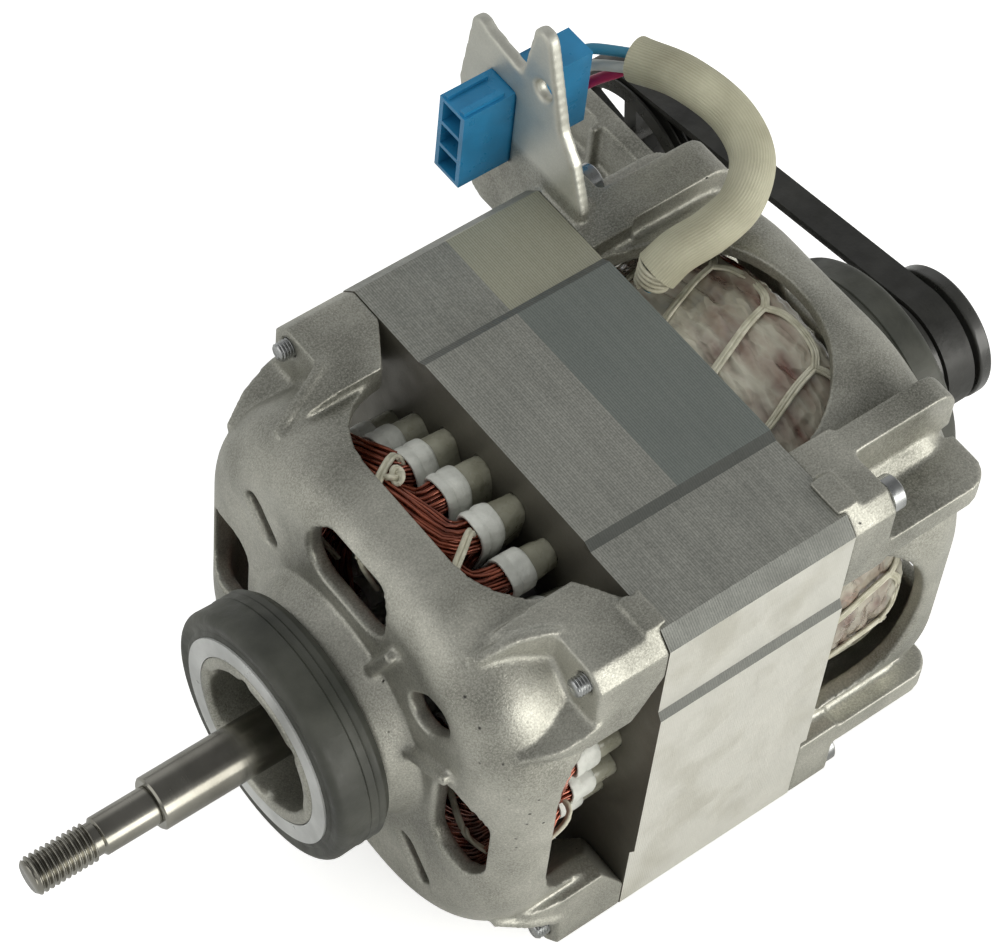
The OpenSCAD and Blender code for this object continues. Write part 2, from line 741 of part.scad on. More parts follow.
function lacing(r_out, r_in, x_near, x_far) = [for (i = [0 : lacing_turns - 1], s = lacing_ring)
    polar(r_out + (r_in - r_out) * s[0], pole_angle + (i + s[2]) * 360 / lacing_turns,
        x_far + (x_near - x_far) * s[1])];

function lacing_rings(p, r, sides) = [for (i = [0 : len(p) - 1])
    let (d = path_dir(p, i), n = side_axis([0, -p[i][2], p[i][1]], d), b = cross(d, n))
    for (j = [0 : sides - 1]) let (a = 360 * j / sides) p[i] + r * (cos(a) * n + sin(a) * b)];

module lacing_cord(p) {
    sides = 6;
    polyhedron(lacing_rings(p, lacing_d / 2, sides), tube_faces(len(p), sides), convexity = 10);
}

lacing_out_r = film_out_r + 0.4 + lacing_d / 2;
lacing_in_r = film_in_r - 0.4 - lacing_d / 2;
front_far_x = cuff_end - (film_end - rear_cuff_end) - 0.2 - lacing_d / 2;
rear_far_x = film_end + 0.4 + lacing_d / 2;

module front_lacing() color("ivory")
    lacing_cord(lacing(lacing_out_r, lacing_in_r, cuff_end - lacing_d / 2 - 0.4, front_far_x));

module rear_lacing() color("ivory")
    lacing_cord(lacing(lacing_out_r, lacing_in_r, rear_cuff_end + lacing_d / 2 + 0.4, rear_far_x));

// Support rings and bolts

module ring_insert(x0) {
    along_x(x0) tube(insert_r, hub_r + slip, ring_l);
}

module ring_rubber(x0) {
    lip = 2.5;
    along_x(x0) rotate_extrude() {
        translate([insert_r + slip, 0]) square([ring_r - insert_r - slip - lip, ring_l]);
        translate([insert_r + 2, lip]) square([ring_r - insert_r - 2, ring_l - lip]);
        translate([ring_r - lip, lip]) circle(lip);
    }
}

module front_ring_insert() color("whitesmoke") ring_insert(-ring_l / 2 - 0.5);
module front_ring_rubber() color([0.2, 0.2, 0.2]) ring_rubber(-ring_l / 2);
module rear_ring_insert() color("whitesmoke") ring_insert(rear_ring_x);

module rear_ring_rubber() color([0.2, 0.2, 0.2])
    translate([2 * rear_ring_x + ring_l, 0, 0]) mirror([1, 0, 0]) ring_rubber(rear_ring_x);

module through_bolts() color("lightgray") {
    x0 = front_lug_x - bolt_proud;
    along_x(x0) for (y = [-1, 1], z = [-1, 1]) translate([y * bolt_off, z * bolt_off, 0]) {
        translate([0, 0, 0.5]) cylinder(r = bolt_r, h = rear_lug_x - x0);
        cylinder(r1 = bolt_r - 0.5, r2 = bolt_r, h = 0.51);
        translate([0, 0, rear_lug_x - x0 + slip]) cylinder(r = bolt_head_r, h = bolt_head_h);
    }
}

// Rotor

front_clip_x = front_seat_x - clip_t - 0.1;
rear_clip_x = rear_seat_x + bearing_w + 0.1;
pulley_x = belt_x - 2.6;
pulley_end = belt_x + belt_w + 5.6;
groove_depth = 0.6;

module shaft() color("gainsboro") {
    end_x = pulley_end - 1;
    front_stop = front_seat_x + bearing_w;
    thread_end = thread_l - shaft_front_l;
    neck_r = tip_r - 0.8;
    along_x() difference() {
        rotate_extrude() polygon([[0, -shaft_front_l], [tip_r - 1, -shaft_front_l],
            [tip_r, 1 - shaft_front_l], [tip_r, thread_end], [neck_r, thread_end + 0.6],
            [neck_r, thread_end + 2], [tip_r, thread_end + 2.6], [tip_r, -step_x],
            [shaft_r - 0.5, -step_x], [shaft_r, 0.5 - step_x], [shaft_r, front_clip_x - 3],
            [bearing_bore_r, front_clip_x - 2.5], [bearing_bore_r, front_stop],
            [rotor_shaft_r, front_stop], [rotor_shaft_r, rear_seat_x],
            [bearing_bore_r, rear_seat_x], [bearing_bore_r, rear_clip_x + 4],
            [shaft_r, rear_clip_x + 4.5], [shaft_r, end_x - 0.5], [shaft_r - 0.5, end_x], [0, end_x]]);
        for (x = [front_clip_x, rear_clip_x]) translate([0, 0, x - 0.05])
            tube(bearing_bore_r + 1, bearing_bore_r - groove_depth, clip_t + 0.1);
    }
}

module rotor_core() color("slategray") along_x(core_x) linear_extrude(core_l) difference() {
    circle(rotor_r);
    circle(rotor_shaft_r + 0.02);
    at_bars() circle(2.2 + slip);
}

module at_bars() {
    for (i = [0 : bar_count - 1]) rotate([0, 0, i * 360 / bar_count])
        translate([rotor_r - 4, 0]) children();
}

module rotor_cage() color("gainsboro") {
    out_r = rotor_r - 1.4;
    for (x = [core_x - cage_ring_l, core_end]) along_x(x) tube(out_r, 21, cage_ring_l);
    along_x(core_x - 1) at_bars() cylinder(r = 2.2, h = core_l + 2);
}

// Bearings, modelled from x = 0 to their width

module race_groove() {
    translate([ball_circle_r, bearing_w / 2]) circle(groove_r);
}

module outer_race() {
    rotate_extrude() difference() {
        translate([race_out_r, 0]) square([bearing_r - race_out_r, bearing_w]);
        race_groove();
    }
}

module inner_race() {
    rotate_extrude() difference() {
        translate([bearing_bore_r + 0.02, 0]) square([race_in_r - bearing_bore_r - 0.02, bearing_w]);
        race_groove();
    }
}

module balls(r) {
    for (i = [0 : ball_count - 1]) rotate([0, 0, 360 * i / ball_count])
        translate([ball_circle_r, 0, bearing_w / 2]) sphere(r = r);
}

// Crown retainer: a ring beside the balls, with a pocket for each.
module retainer() {
    difference() {
        translate([0, 0, bearing_w / 2 + 1.2])
            tube(race_out_r - 0.5, race_in_r + 0.5, bearing_w / 2 - 1.7);
        balls(ball_r + 0.12);
    }
}

module front_outer_race() color("lightsteelblue") along_x(front_seat_x) outer_race();
module front_inner_race() color("lightsteelblue") along_x(front_seat_x) inner_race();
module front_bearing_balls() color("white") along_x(front_seat_x) balls(ball_r);
module front_bearing_retainer() color("goldenrod") along_x(front_seat_x) retainer();
module rear_outer_race() color("lightsteelblue") along_x(rear_seat_x) outer_race();
module rear_inner_race() color("lightsteelblue") along_x(rear_seat_x) inner_race();
module rear_bearing_balls() color("white") along_x(rear_seat_x) balls(ball_r);
module rear_bearing_retainer() color("goldenrod") along_x(rear_seat_x) retainer();

// Thin ring with three waves, between the rear outer race and the hub's shoulder.
module wave_washer() color("silver") {
    steps = 36;
    t = 0.3;
    wave = (washer_space - t) / 2 - 0.1;
    mid = rear_seat_x + bearing_w + washer_space / 2;
    points = [for (i = [0 : steps - 1]) let (a = 360 * i / steps, x = mid + wave * sin(3 * a))
        each [polar(14.4, a, x - t / 2), polar(bearing_r - 0.3, a, x - t / 2),
            polar(bearing_r - 0.3, a, x + t / 2), polar(14.4, a, x + t / 2)]];
    faces = [for (i = [0 : steps - 1], j = [0 : 3], k = [0, 1])
        let (a = 4 * i + j, b = 4 * i + (j + 1) % 4, n = 4 * steps, c = (a + 4) % n, d = (b + 4) % n)
        k == 0 ? [a, b, d] : [a, d, c]];
    polyhedron(points, faces, convexity = 4);
}

module retaining_ring(r_in, r_out, t) {
    difference() {
        tube(r_out, r_in, t);
        translate([0, -1.8, -cut]) cube([r_out + cut, 3.6, t + 2 * cut]);
    }
}

module retaining_rings() color("dimgray")
    for (x = [front_clip_x, rear_clip_x]) along_x(x)
        retaining_ring(bearing_bore_r - groove_depth + slip, bearing_bore_r + 2.3, clip_t);

// Belt drive

// Half section of a ribbed rim: radius along X, length along Y from 0 to the ribs' width.
module ribbed_rim(in_r, seat_r, ribs) {
    top = seat_r + ridge_h;
    low = seat_r - groove_deep;
    difference() {
        translate([in_r, 0]) square([top - in_r, ribs * rib_pitch]);
        for (i = [0 : ribs - 1]) translate([0, (i + 0.5) * rib_pitch])
            polygon([[low, -0.25], [top, -0.95], [top + 1, -0.95], [top + 1, 0.95],
                [top, 0.95], [low, 0.25]]);
    }
}

module motor_pulley() color([0.16, 0.16, 0.17]) {
    flange_r = pulley_seat_r + 3.8;
    end_l = 4;
    along_x() rotate_extrude() {
        translate([0, belt_x]) ribbed_rim(shaft_r + 0.02, pulley_seat_r, rib_count);
        translate([shaft_r + 0.02, pulley_x])
            square([pulley_seat_r + 2.6 - shaft_r, belt_x - flange_gap - pulley_x]);
        translate([shaft_r + 0.02, pulley_x + 1])
            square([pulley_seat_r - groove_deep - 0.5 - shaft_r, belt_x - pulley_x]);
        translate([shaft_r + 0.02, belt_x + belt_w - 0.02])
            square([pulley_seat_r - 0.2 - shaft_r, pulley_end - belt_x - belt_w - end_l + 0.5]);
        translate([shaft_r + 0.02, pulley_end - end_l]) square([flange_r - 0.8 - shaft_r, end_l]);
        translate([flange_r - 1.6, pulley_end - end_l + 0.8]) square([1.6, end_l - 1.6]);
        for (x = [0.8, end_l - 0.8]) translate([flange_r - 0.8, pulley_end - end_l + x]) circle(0.8);
    }
}

// Section of the belt over a pulley's axis: radius along X, width along Y. It is thinner by
// thin all round.
module belt_section(seat_r, thin) {
    tip = seat_r + belt_lift + thin;
    root = seat_r + belt_lift + belt_rib_h + thin;
    back = seat_r + belt_t - thin;
    tip_w = 0.17 - thin / 2;
    root_w = 0.66 - thin;
    translate([root, belt_side + thin]) square([back - root, belt_w - 2 * (belt_side + thin)]);
    for (i = [0 : rib_count - 1]) translate([0, (i + 0.5) * rib_pitch])
        polygon([[tip, -tip_w], [root + 0.1, -root_w], [root + 0.1, root_w], [tip, tip_w]]);
}

module belt_arc(seat_r, from, to) {
    rotate([0, 0, from]) rotate_extrude(angle = to - from) belt_section(seat_r, 0);
}

// A straight run is a hair thinner than the two arcs and ends inside them, which makes the belt
// one piece.
module belt_straight(seat_r, dir) {
    joint = 0.5;
    rotate([0, 0, dir]) rotate([90, 0, 0]) translate([0, 0, -joint])
        linear_extrude(belt_run + 2 * joint) belt_section(seat_r, 0.03);
}

module drive_belt() color([0.1, 0.1, 0.1]) along_x(belt_x) {
    up = wheel_dir + 90 + belt_lean;
    down = wheel_dir - 90 - belt_lean;
    belt_arc(pulley_seat_r, up, down + 360);
    belt_straight(pulley_seat_r, up);
    translate([wheel_y, wheel_z, 0]) {
        belt_arc(wheel_seat_r, down, up);
        belt_straight(wheel_seat_r, down);
    }
}

module at_wheel(x) {
    along_x(x) translate([wheel_y, wheel_z, 0]) children();
}

// Second wheel: ribbed rim on five spokes, with the small track of the drum's belt behind.
module drive_wheel() color([0.16, 0.16, 0.17]) {
    rim_in = wheel_seat_r - 2.5;
    bore = axle_r + 2.5;
    hub_out = 11;
    spoke_w = 5;
    at_wheel(0) difference() {
        union() {
            rotate_extrude() {
                translate([0, belt_x]) ribbed_rim(rim_in, wheel_seat_r, rib_count);
                translate([rim_in, wheel_rim_x])
                    square([wheel_seat_r - groove_deep - 0.5 - rim_in, wheel_rim_l]);
                for (x = [wheel_rim_x, wheel_rim_x + wheel_rim_l - rim_flange_t])
                    translate([rim_in, x]) square([wheel_seat_r + 2.4 - rim_in, rim_flange_t]);
                translate([0, wheel_end - track_l + 0.5]) ribbed_rim(bore, track_seat_r, track_ribs);
                translate([bore, wheel_end - 1.12]) square([track_seat_r + 2.6 - bore, 1.12]);
                translate([bore, wheel_hub_x]) square([hub_out - bore, wheel_end - wheel_hub_x - 1]);
            }
            for (i = [0 : 4]) rotate([0, 0, 72 * i + 10])
                translate([hub_out - 1, -spoke_w / 2, wheel_rim_x + 1.5])
                cube([rim_in - hub_out + 2, spoke_w, wheel_rim_l - 4]);
        }
        translate([0, 0, wheel_hub_x - cut]) cylinder(r = bore, h = wheel_end - wheel_hub_x + 2 * cut);
    }
}

module wheel_bush() color("peru") at_wheel(wheel_hub_x)
    tube(axle_r + 2.5 - 0.02, axle_r + slip, wheel_end - wheel_hub_x);

axle_clip_x = wheel_end + hub_gap;

module wheel_axle() color("lightgray") at_wheel(0) difference() {
    start = web_x - 5;
    end = axle_clip_x + 3;
    translate([0, 0, start]) cylinder(r = axle_r, h = end - start);
    translate([0, 0, axle_clip_x - 0.05]) tube(axle_r + 1, axle_r - groove_depth, clip_t + 0.1);
}

module axle_washer() color("silver") at_wheel(axle_boss_x)
    tube(arm_boss_r - 0.5, axle_r + slip, axle_washer_t);

module axle_clip() color("dimgray") at_wheel(axle_clip_x)
    retaining_ring(axle_r - groove_depth + slip, axle_r + 2.3, clip_t);

// Connector and leads

way_z = [for (i = [1 : -1 : -1]) conn_z + i * way_pitch];

module connector_housing() color("dodgerblue") {
    way = 6.8;
    latch_w = 4;
    along_x() difference() {
        union() {
            translate([conn_y - conn_w / 2, conn_z - conn_h / 2, conn_front_x])
                cube([conn_w, conn_h, conn_l]);
            translate([conn_y - conn_w / 2 - 1.2, conn_z - conn_h / 2 - 1.2, plate_x + plate_t + 0.1])
                cube([conn_w + 2.4, conn_h + 2.4, 3]);
            translate([conn_y - latch_w / 2, conn_z + conn_h / 2 - 0.5, plate_x + plate_t + 3])
                cube([latch_w, 3.5, 9]);
            for (y = [-1, 1]) translate([conn_y + y * 3.2 - 0.8, conn_z + conn_h / 2 - 0.2,
                conn_front_x + 0.5]) cube([1.6, 1.4, 12]);
        }
        for (z = way_z) {
            translate([conn_y - way / 2, z - way / 2, conn_front_x - cut])
                cube([way, way, cavity_l + cut]);
            translate([conn_y, z, conn_front_x]) cylinder(r = lead_d / 2 + 0.2, h = conn_l + cut);
        }
        translate([conn_y - conn_w / 2 - cut, conn_z - conn_h / 2 - 2, conn_front_x + 18 + plate_t])
            cube([cut + 0.8, 3, 12]);
    }
}

// Blade terminals: a flat tab and a crimped barrel that holds the lead.
module terminals() color("goldenrod") along_x() for (z = way_z) {
    x0 = conn_front_x + 5;
    floor_x = conn_front_x + cavity_l;
    translate([conn_y - 3, z - 0.4, x0]) cube([6, 0.8, floor_x - x0 - 6]);
    translate([conn_y, z, floor_x - 7]) tube(lead_d / 2 + 0.9, lead_d / 2 + slip, 7);
}

// Route of a lead: out of its way in the connector, round the sleeve's middle, to the windings.
function mid_rounded(p) = [for (i = [0 : len(p) - 1]) each
    i < len(p) - 1 ? [p[i], i == 0 || i == len(p) - 2 ? (p[i] + p[i + 1]) / 2
        : (9 * (p[i] + p[i + 1]) - p[i - 1] - p[i + 2]) / 16] : [p[i]]];

function off_path(p, a) = [for (i = [0 : len(p) - 1])
    let (d = path_dir(p, i), n = side_axis([0, 0.3, 1], d), b = cross(d, n))
    p[i] + lead_off * (cos(a) * n + sin(a) * b)];

function lead_route(z, a) = let (x0 = conn_front_x + cavity_l - 6, x1 = conn_front_x + conn_l)
    concat([[x0, conn_y, z], [x1, conn_y, z], [x1 + lead_start * 0.5, conn_y - 1.5, (3 * z + 80) / 4]],
        off_path(mid_rounded(concat(sleeve_route, lead_tail)), a));

function plain_rings(p, r, sides) = [for (i = [0 : len(p) - 1])
    let (d = path_dir(p, i), n = side_axis([0, 0.3, 1], d), b = cross(d, n))
    for (j = [0 : sides - 1]) let (a = 360 * j / sides) p[i] + r * (cos(a) * n + sin(a) * b)];

module plain_tube(p, d, sides) {
    polyhedron(plain_rings(p, d / 2, sides), tube_faces(len(p), sides), convexity = 8);
}

module lead(i, a) {
    plain_tube(lead_route(way_z[i], a), lead_d, 8);
}

module lead_blue() color("deepskyblue") lead(0, 0);
module lead_white() color("whitesmoke") lead(1, 120);
module lead_red() color("crimson") lead(2, 240);

module lead_sleeve() color("antiquewhite") difference() {
    p = mid_rounded(sleeve_route);
    last = len(p) - 1;
    plain_tube(p, sleeve_d, 12);
    plain_tube(concat([2 * p[0] - p[1]], p, [2 * p[last] - p[last - 1]]), sleeve_d - 2 * lead_wall, 12);
}

front_bell();
rear_bell();
stator_core();
slot_liners();
coil_cuffs();
main_winding();
start_winding();
winding_film();
front_lacing();
rear_lacing();
front_ring_insert();
front_ring_rubber();
rear_ring_insert();
rear_ring_rubber();
through_bolts();
shaft();
rotor_core();
rotor_cage();
front_outer_race();
front_inner_race();
front_bearing_balls();
front_bearing_retainer();
rear_outer_race();
rear_inner_race();
rear_bearing_balls();
rear_bearing_retainer();
wave_washer();
retaining_rings();
motor_pulley();
drive_belt();
drive_wheel();
wheel_bush();
wheel_axle();
axle_washer();
axle_clip();
connector_housing();
terminals();
lead_blue();
lead_white();
lead_red();
lead_sleeve();
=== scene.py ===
"""Looks of a dryer motor: cast bells, sheet-steel core, wound coils, shaft, rings, belt drive, plug.

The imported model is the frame. Most rigid parts keep their solids and get worked finishes here.
The castings get soft edges, the shaft, bolts and rubber rings are turned with their threads and
moulded lines, the coils are laid wire by wire, and the film, cords and sleeve are made new.
"""

import json
import logging
import math
from dataclasses import dataclass
from enum import Enum
from itertools import product
from typing import Iterator

import bmesh
import bpy
import numpy as np
from mathutils import Matrix, Vector

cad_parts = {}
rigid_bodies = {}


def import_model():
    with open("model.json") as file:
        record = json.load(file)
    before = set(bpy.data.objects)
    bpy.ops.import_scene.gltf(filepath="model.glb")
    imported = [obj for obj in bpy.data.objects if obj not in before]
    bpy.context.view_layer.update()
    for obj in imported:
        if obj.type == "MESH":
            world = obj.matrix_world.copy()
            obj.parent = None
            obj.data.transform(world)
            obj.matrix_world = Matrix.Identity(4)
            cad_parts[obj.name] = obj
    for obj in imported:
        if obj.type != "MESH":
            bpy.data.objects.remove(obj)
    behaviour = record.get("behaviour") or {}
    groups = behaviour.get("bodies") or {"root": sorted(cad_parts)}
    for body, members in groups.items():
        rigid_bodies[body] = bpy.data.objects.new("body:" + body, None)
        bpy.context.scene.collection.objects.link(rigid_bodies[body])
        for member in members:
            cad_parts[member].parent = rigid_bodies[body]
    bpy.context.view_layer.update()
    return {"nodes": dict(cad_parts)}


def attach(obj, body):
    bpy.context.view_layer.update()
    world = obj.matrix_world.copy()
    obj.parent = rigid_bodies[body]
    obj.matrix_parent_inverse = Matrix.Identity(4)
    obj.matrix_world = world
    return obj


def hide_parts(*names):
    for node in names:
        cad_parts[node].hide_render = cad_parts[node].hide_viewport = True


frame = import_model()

LOG = logging.getLogger("dryer_motor")
MM = 0.001
GOLDEN_ANGLE = 2.39996
# Where most of a noise lies, and the roughness of every clear coat
NOISE_RANGE = (0.3, 0.7)
COAT_ROUGHNESS = 0.12
# Outer ends of the cuffs, and the radius of a profile's points on its axis, in millimetres
CUFF_X = (46.5, 128.5)
AXIS_R = 0.01
SLEEVE_RIBS = 46
Colour = tuple[float, float, float]
Point = tuple[float, float, float]
Socket = bpy.types.NodeSocket
Piece = bpy.types.Object


class Body(Enum):
    """The bodies that the new pieces ride on."""

    FRAME = "frame"
    ROTOR = "rotor"


class End(Enum):
    """The two ends of the motor: the threaded shaft end and the belt end."""

    FRONT = "front"
    REAR = "rear"


# Node trees


class Graph:
    """Short calls that add nodes to one tree and join them."""

    def __init__(self, tree: bpy.types.NodeTree) -> None:
        """Keeps the tree that the nodes go to."""
        self.tree = tree

    def put(self, node: bpy.types.Node, key: str | int, value: object) -> None:
        """Joins a socket to a node's input, or sets the input to a plain value."""
        if isinstance(value, Socket):
            self.tree.links.new(value, node.inputs[key])
        else:
            node.inputs[key].default_value = value

    def node(self, kind: str, inputs: dict | None = None, **settings: object) -> bpy.types.Node:
        """Adds one node.

        Args:
            kind: The node's type name.
            inputs: Values or sockets for its inputs, by name or number.
            settings: The node's own settings.

        Returns:
            The new node.
        """
        made = self.tree.nodes.new(kind)
        for key, value in settings.items():
            setattr(made, key, value)
        for key, value in (inputs or {}).items():
            self.put(made, key, value)
        return made

    def math(self, operation: str, *values: object) -> Socket:
        """Joins numbers by one operation."""
        return self.node("ShaderNodeMath", dict(enumerate(values)), operation=operation).outputs[0]

    def plus(self, first: object, second: object) -> Socket:
        """Adds two numbers."""
        return self.math("ADD", first, second)

    def times(self, first: object, second: object) -> Socket:
        """Multiplies two numbers."""
        return self.math("MULTIPLY", first, second)

    def vector(self, operation: str, *values: object, scale: object = None) -> Socket:
        """Joins vectors by one operation, with a factor for SCALE."""
        inputs = dict(enumerate(values))
        if scale is not None:
            inputs["Scale"] = scale
        made = self.node("ShaderNodeVectorMath", inputs, operation=operation)
        return made.outputs[1 if operation in ("LENGTH", "DISTANCE") else 0]

    def axes(self, vector: object) -> bpy.types.bpy_prop_collection:
        """The three parts of a vector."""
        return self.node("ShaderNodeSeparateXYZ", {0: vector}).outputs

    def noise(self, place: object, scale: float, detail: float = 2.0) -> Socket:
        """Soft noise from 0 to 1 at a scale in features a metre."""
        return self.node("ShaderNodeTexNoise", {"Vector": place, "Scale": scale,
                                                "Detail": detail}).outputs[0]

    def cells(self, place: object, scale: float) -> bpy.types.Node:
        """Voronoi cells at a scale in cells a metre."""
        return self.node("ShaderNodeTexVoronoi", {"Vector": place, "Scale": scale})

    def span(self, value: object, low: float, high: float, to_low: object = 0.0,
             to_high: object = 1.0) -> Socket:
        """Maps low..high to to_low..to_high, and clamps it there."""
        return self.node("ShaderNodeMapRange", {0: value, 1: low, 2: high, 3: to_low,
                                                4: to_high}).outputs[0]

    def blend(self, share: object, first: object, second: object) -> Socket:
        """Mixes two colours by a share of the second."""
        made = self.node("ShaderNodeMix", {0: share}, data_type="RGBA")
        for key, value in ((6, first), (7, second)):
            self.put(made, key, value if isinstance(value, Socket) else (*value, 1.0))
        return made.outputs[2]

    def bump(self, height: object, depth: float, normal: object = None) -> Socket:
        """Raises the surface by a height from 0 to 1 times a depth in metres."""
        inputs = {"Height": height, "Distance": depth, "Strength": 1.0}
        if normal is not None:
            inputs["Normal"] = normal
        return self.node("ShaderNodeBump", inputs).outputs[0]


# Finishes


@dataclass(frozen=True)
class Finish:
    """A plain moulded or turned finish: two tones in patches, fine grain and uneven gloss.

    Its methods add nodes to a graph and read the place, in Object coordinates.
    """

    name: str
    dark: Colour
    light: Colour
    metallic: float = 0.0
    rough: tuple[float, float] = (0.35, 0.55)
    patch: float = 45.0
    grain: float = 1500.0
    grain_depth: float = 0.00002
    coat: float = 0.0
    specular: float = 0.5
    alpha: float = 1.0
    turned: float = 0.0

    def tone(self, g: Graph, place: Socket) -> Socket:
        """Share of the light tone over the surface."""
        return g.span(g.noise(place, self.patch, 5.0), *NOISE_RANGE)

    def relief(self, g: Graph, place: Socket) -> Socket:
        """Normal of the fine relief."""
        return g.bump(g.noise(place, self.grain, 3.0), self.grain_depth)

    def gloss(self, g: Graph, place: Socket) -> Socket:
        """Roughness over the surface, with thin rings where the piece was turned about X."""
        uneven = g.noise(place, self.patch * 3.0, 4.0)
        if self.turned:
            rings = g.node("ShaderNodeTexNoise", {"W": g.axes(place)[0], "Scale": self.turned,
                                                  "Detail": 4.0}, noise_dimensions="1D").outputs[0]
            uneven = g.times(g.plus(uneven, rings), 0.5)
        return g.span(uneven, *NOISE_RANGE, *self.rough)

    def tint(self, g: Graph, place: Socket) -> Socket:
        """Colour over the surface."""
        return g.blend(self.tone(g, place), self.dark, self.light)

    def material(self) -> bpy.types.Material:
        """Makes the material, or returns it when it was made before."""
        title = f"{self.name}_worked"
        known = bpy.data.materials.get(title)
        if known:
            return known
        made = bpy.data.materials.new(title)
        made.use_nodes = True
        g = Graph(made.node_tree)
        place = g.node("ShaderNodeTexCoord").outputs["Object"]
        for socket, value in (("Base Color", self.tint(g, place)), ("Roughness", self.gloss(g, place)),
                              ("Normal", self.relief(g, place)), ("Metallic", self.metallic),
                              ("Coat Weight", self.coat), ("Coat Roughness", COAT_ROUGHNESS),
                              ("Specular IOR Level", self.specular), ("Alpha", self.alpha)):
            g.put(made.node_tree.nodes["Principled BSDF"], socket, value)
        return made


@dataclass(frozen=True)
class CastSkin(Finish):
    """Sand-textured aluminium casting: sand grain, painted glints, stained patches and a few pits in
    painted shade.
    """

    pit_scale: float = 520.0
    pit_centre: Point = (0.017, -0.045, 0.022)
    pit_reach: float = 0.034
    pit_rarity: tuple[float, float] = (0.90, 0.995)
    pit_rim: tuple[float, float] = (0.1, 0.28)
    pit_depth: float = 0.0002
    # Near black: painted shade inside the pits.
    pit_shade: Colour = (0.05, 0.048, 0.045)
    wave_scale: float = 70.0
    wave_depth: float = 0.00018
    plate_z: tuple[float, float] = (0.066, 0.069)
    plate_tone: Colour = (0.70, 0.70, 0.63)
    plate_share: float = 0.7
    plate_smooth: float = 0.8

    def _plate(self, g: Graph, place: Socket) -> Socket:
        """Share of the smooth connector plate, which stands above the rest."""
        return g.span(g.axes(place)[2], *self.plate_z)

    def _pits(self, g: Graph, place: Socket) -> Socket:
        """Share from 0 on the skin to 1 in a pit. Most pits are in one area of the front bell."""
        cells = g.cells(place, self.pit_scale)
        drawn = g.node("ShaderNodeSeparateColor", {0: cells.outputs["Color"]}).outputs[0]
        near = g.span(g.vector("DISTANCE", place, self.pit_centre), 0.4 * self.pit_reach,
                      self.pit_reach, *self.pit_rarity)
        chosen = g.math("GREATER_THAN", drawn, near)
        return g.times(chosen, g.span(cells.outputs["Distance"], *self.pit_rim, 1.0, 0.0))

    def tint(self, g: Graph, place: Socket) -> Socket:
        """Grey that varies with the sand grain, lighter in painted glints, with painted shade in the
        pits.
        """
        sand = g.span(g.noise(place, self.grain, 2.0), 0.35, 0.68)
        # Painted glints: small light specks in the colour stand in for glinting light.
        painted_glints = g.span(g.noise(place, 2.3 * self.grain, 1.0), 0.66, 0.74)
        shade = g.plus(g.plus(g.times(self.tone(g, place), 0.5), g.times(sand, 0.25)),
                       g.times(painted_glints, 0.5))
        skin = g.blend(shade, self.dark, self.light)
        skin = g.blend(g.times(self._plate(g, place), self.plate_share), skin, self.plate_tone)
        # The pits get a painted shade.
        return g.blend(self._pits(g, place), skin, self.pit_shade)

    def relief(self, g: Graph, place: Socket) -> Socket:
        """Sand grain over slow waves of the mould, and the pits."""
        waves = g.bump(g.noise(place, self.wave_scale, 3.0), self.wave_depth)
        rough = g.math("SUBTRACT", 1.0, g.times(self._plate(g, place), self.plate_smooth))
        sand = g.bump(g.times(g.noise(place, self.grain, 3.0), rough), self.grain_depth, waves)
        return g.bump(g.math("SUBTRACT", 1.0, self._pits(g, place)), self.pit_depth, sand)


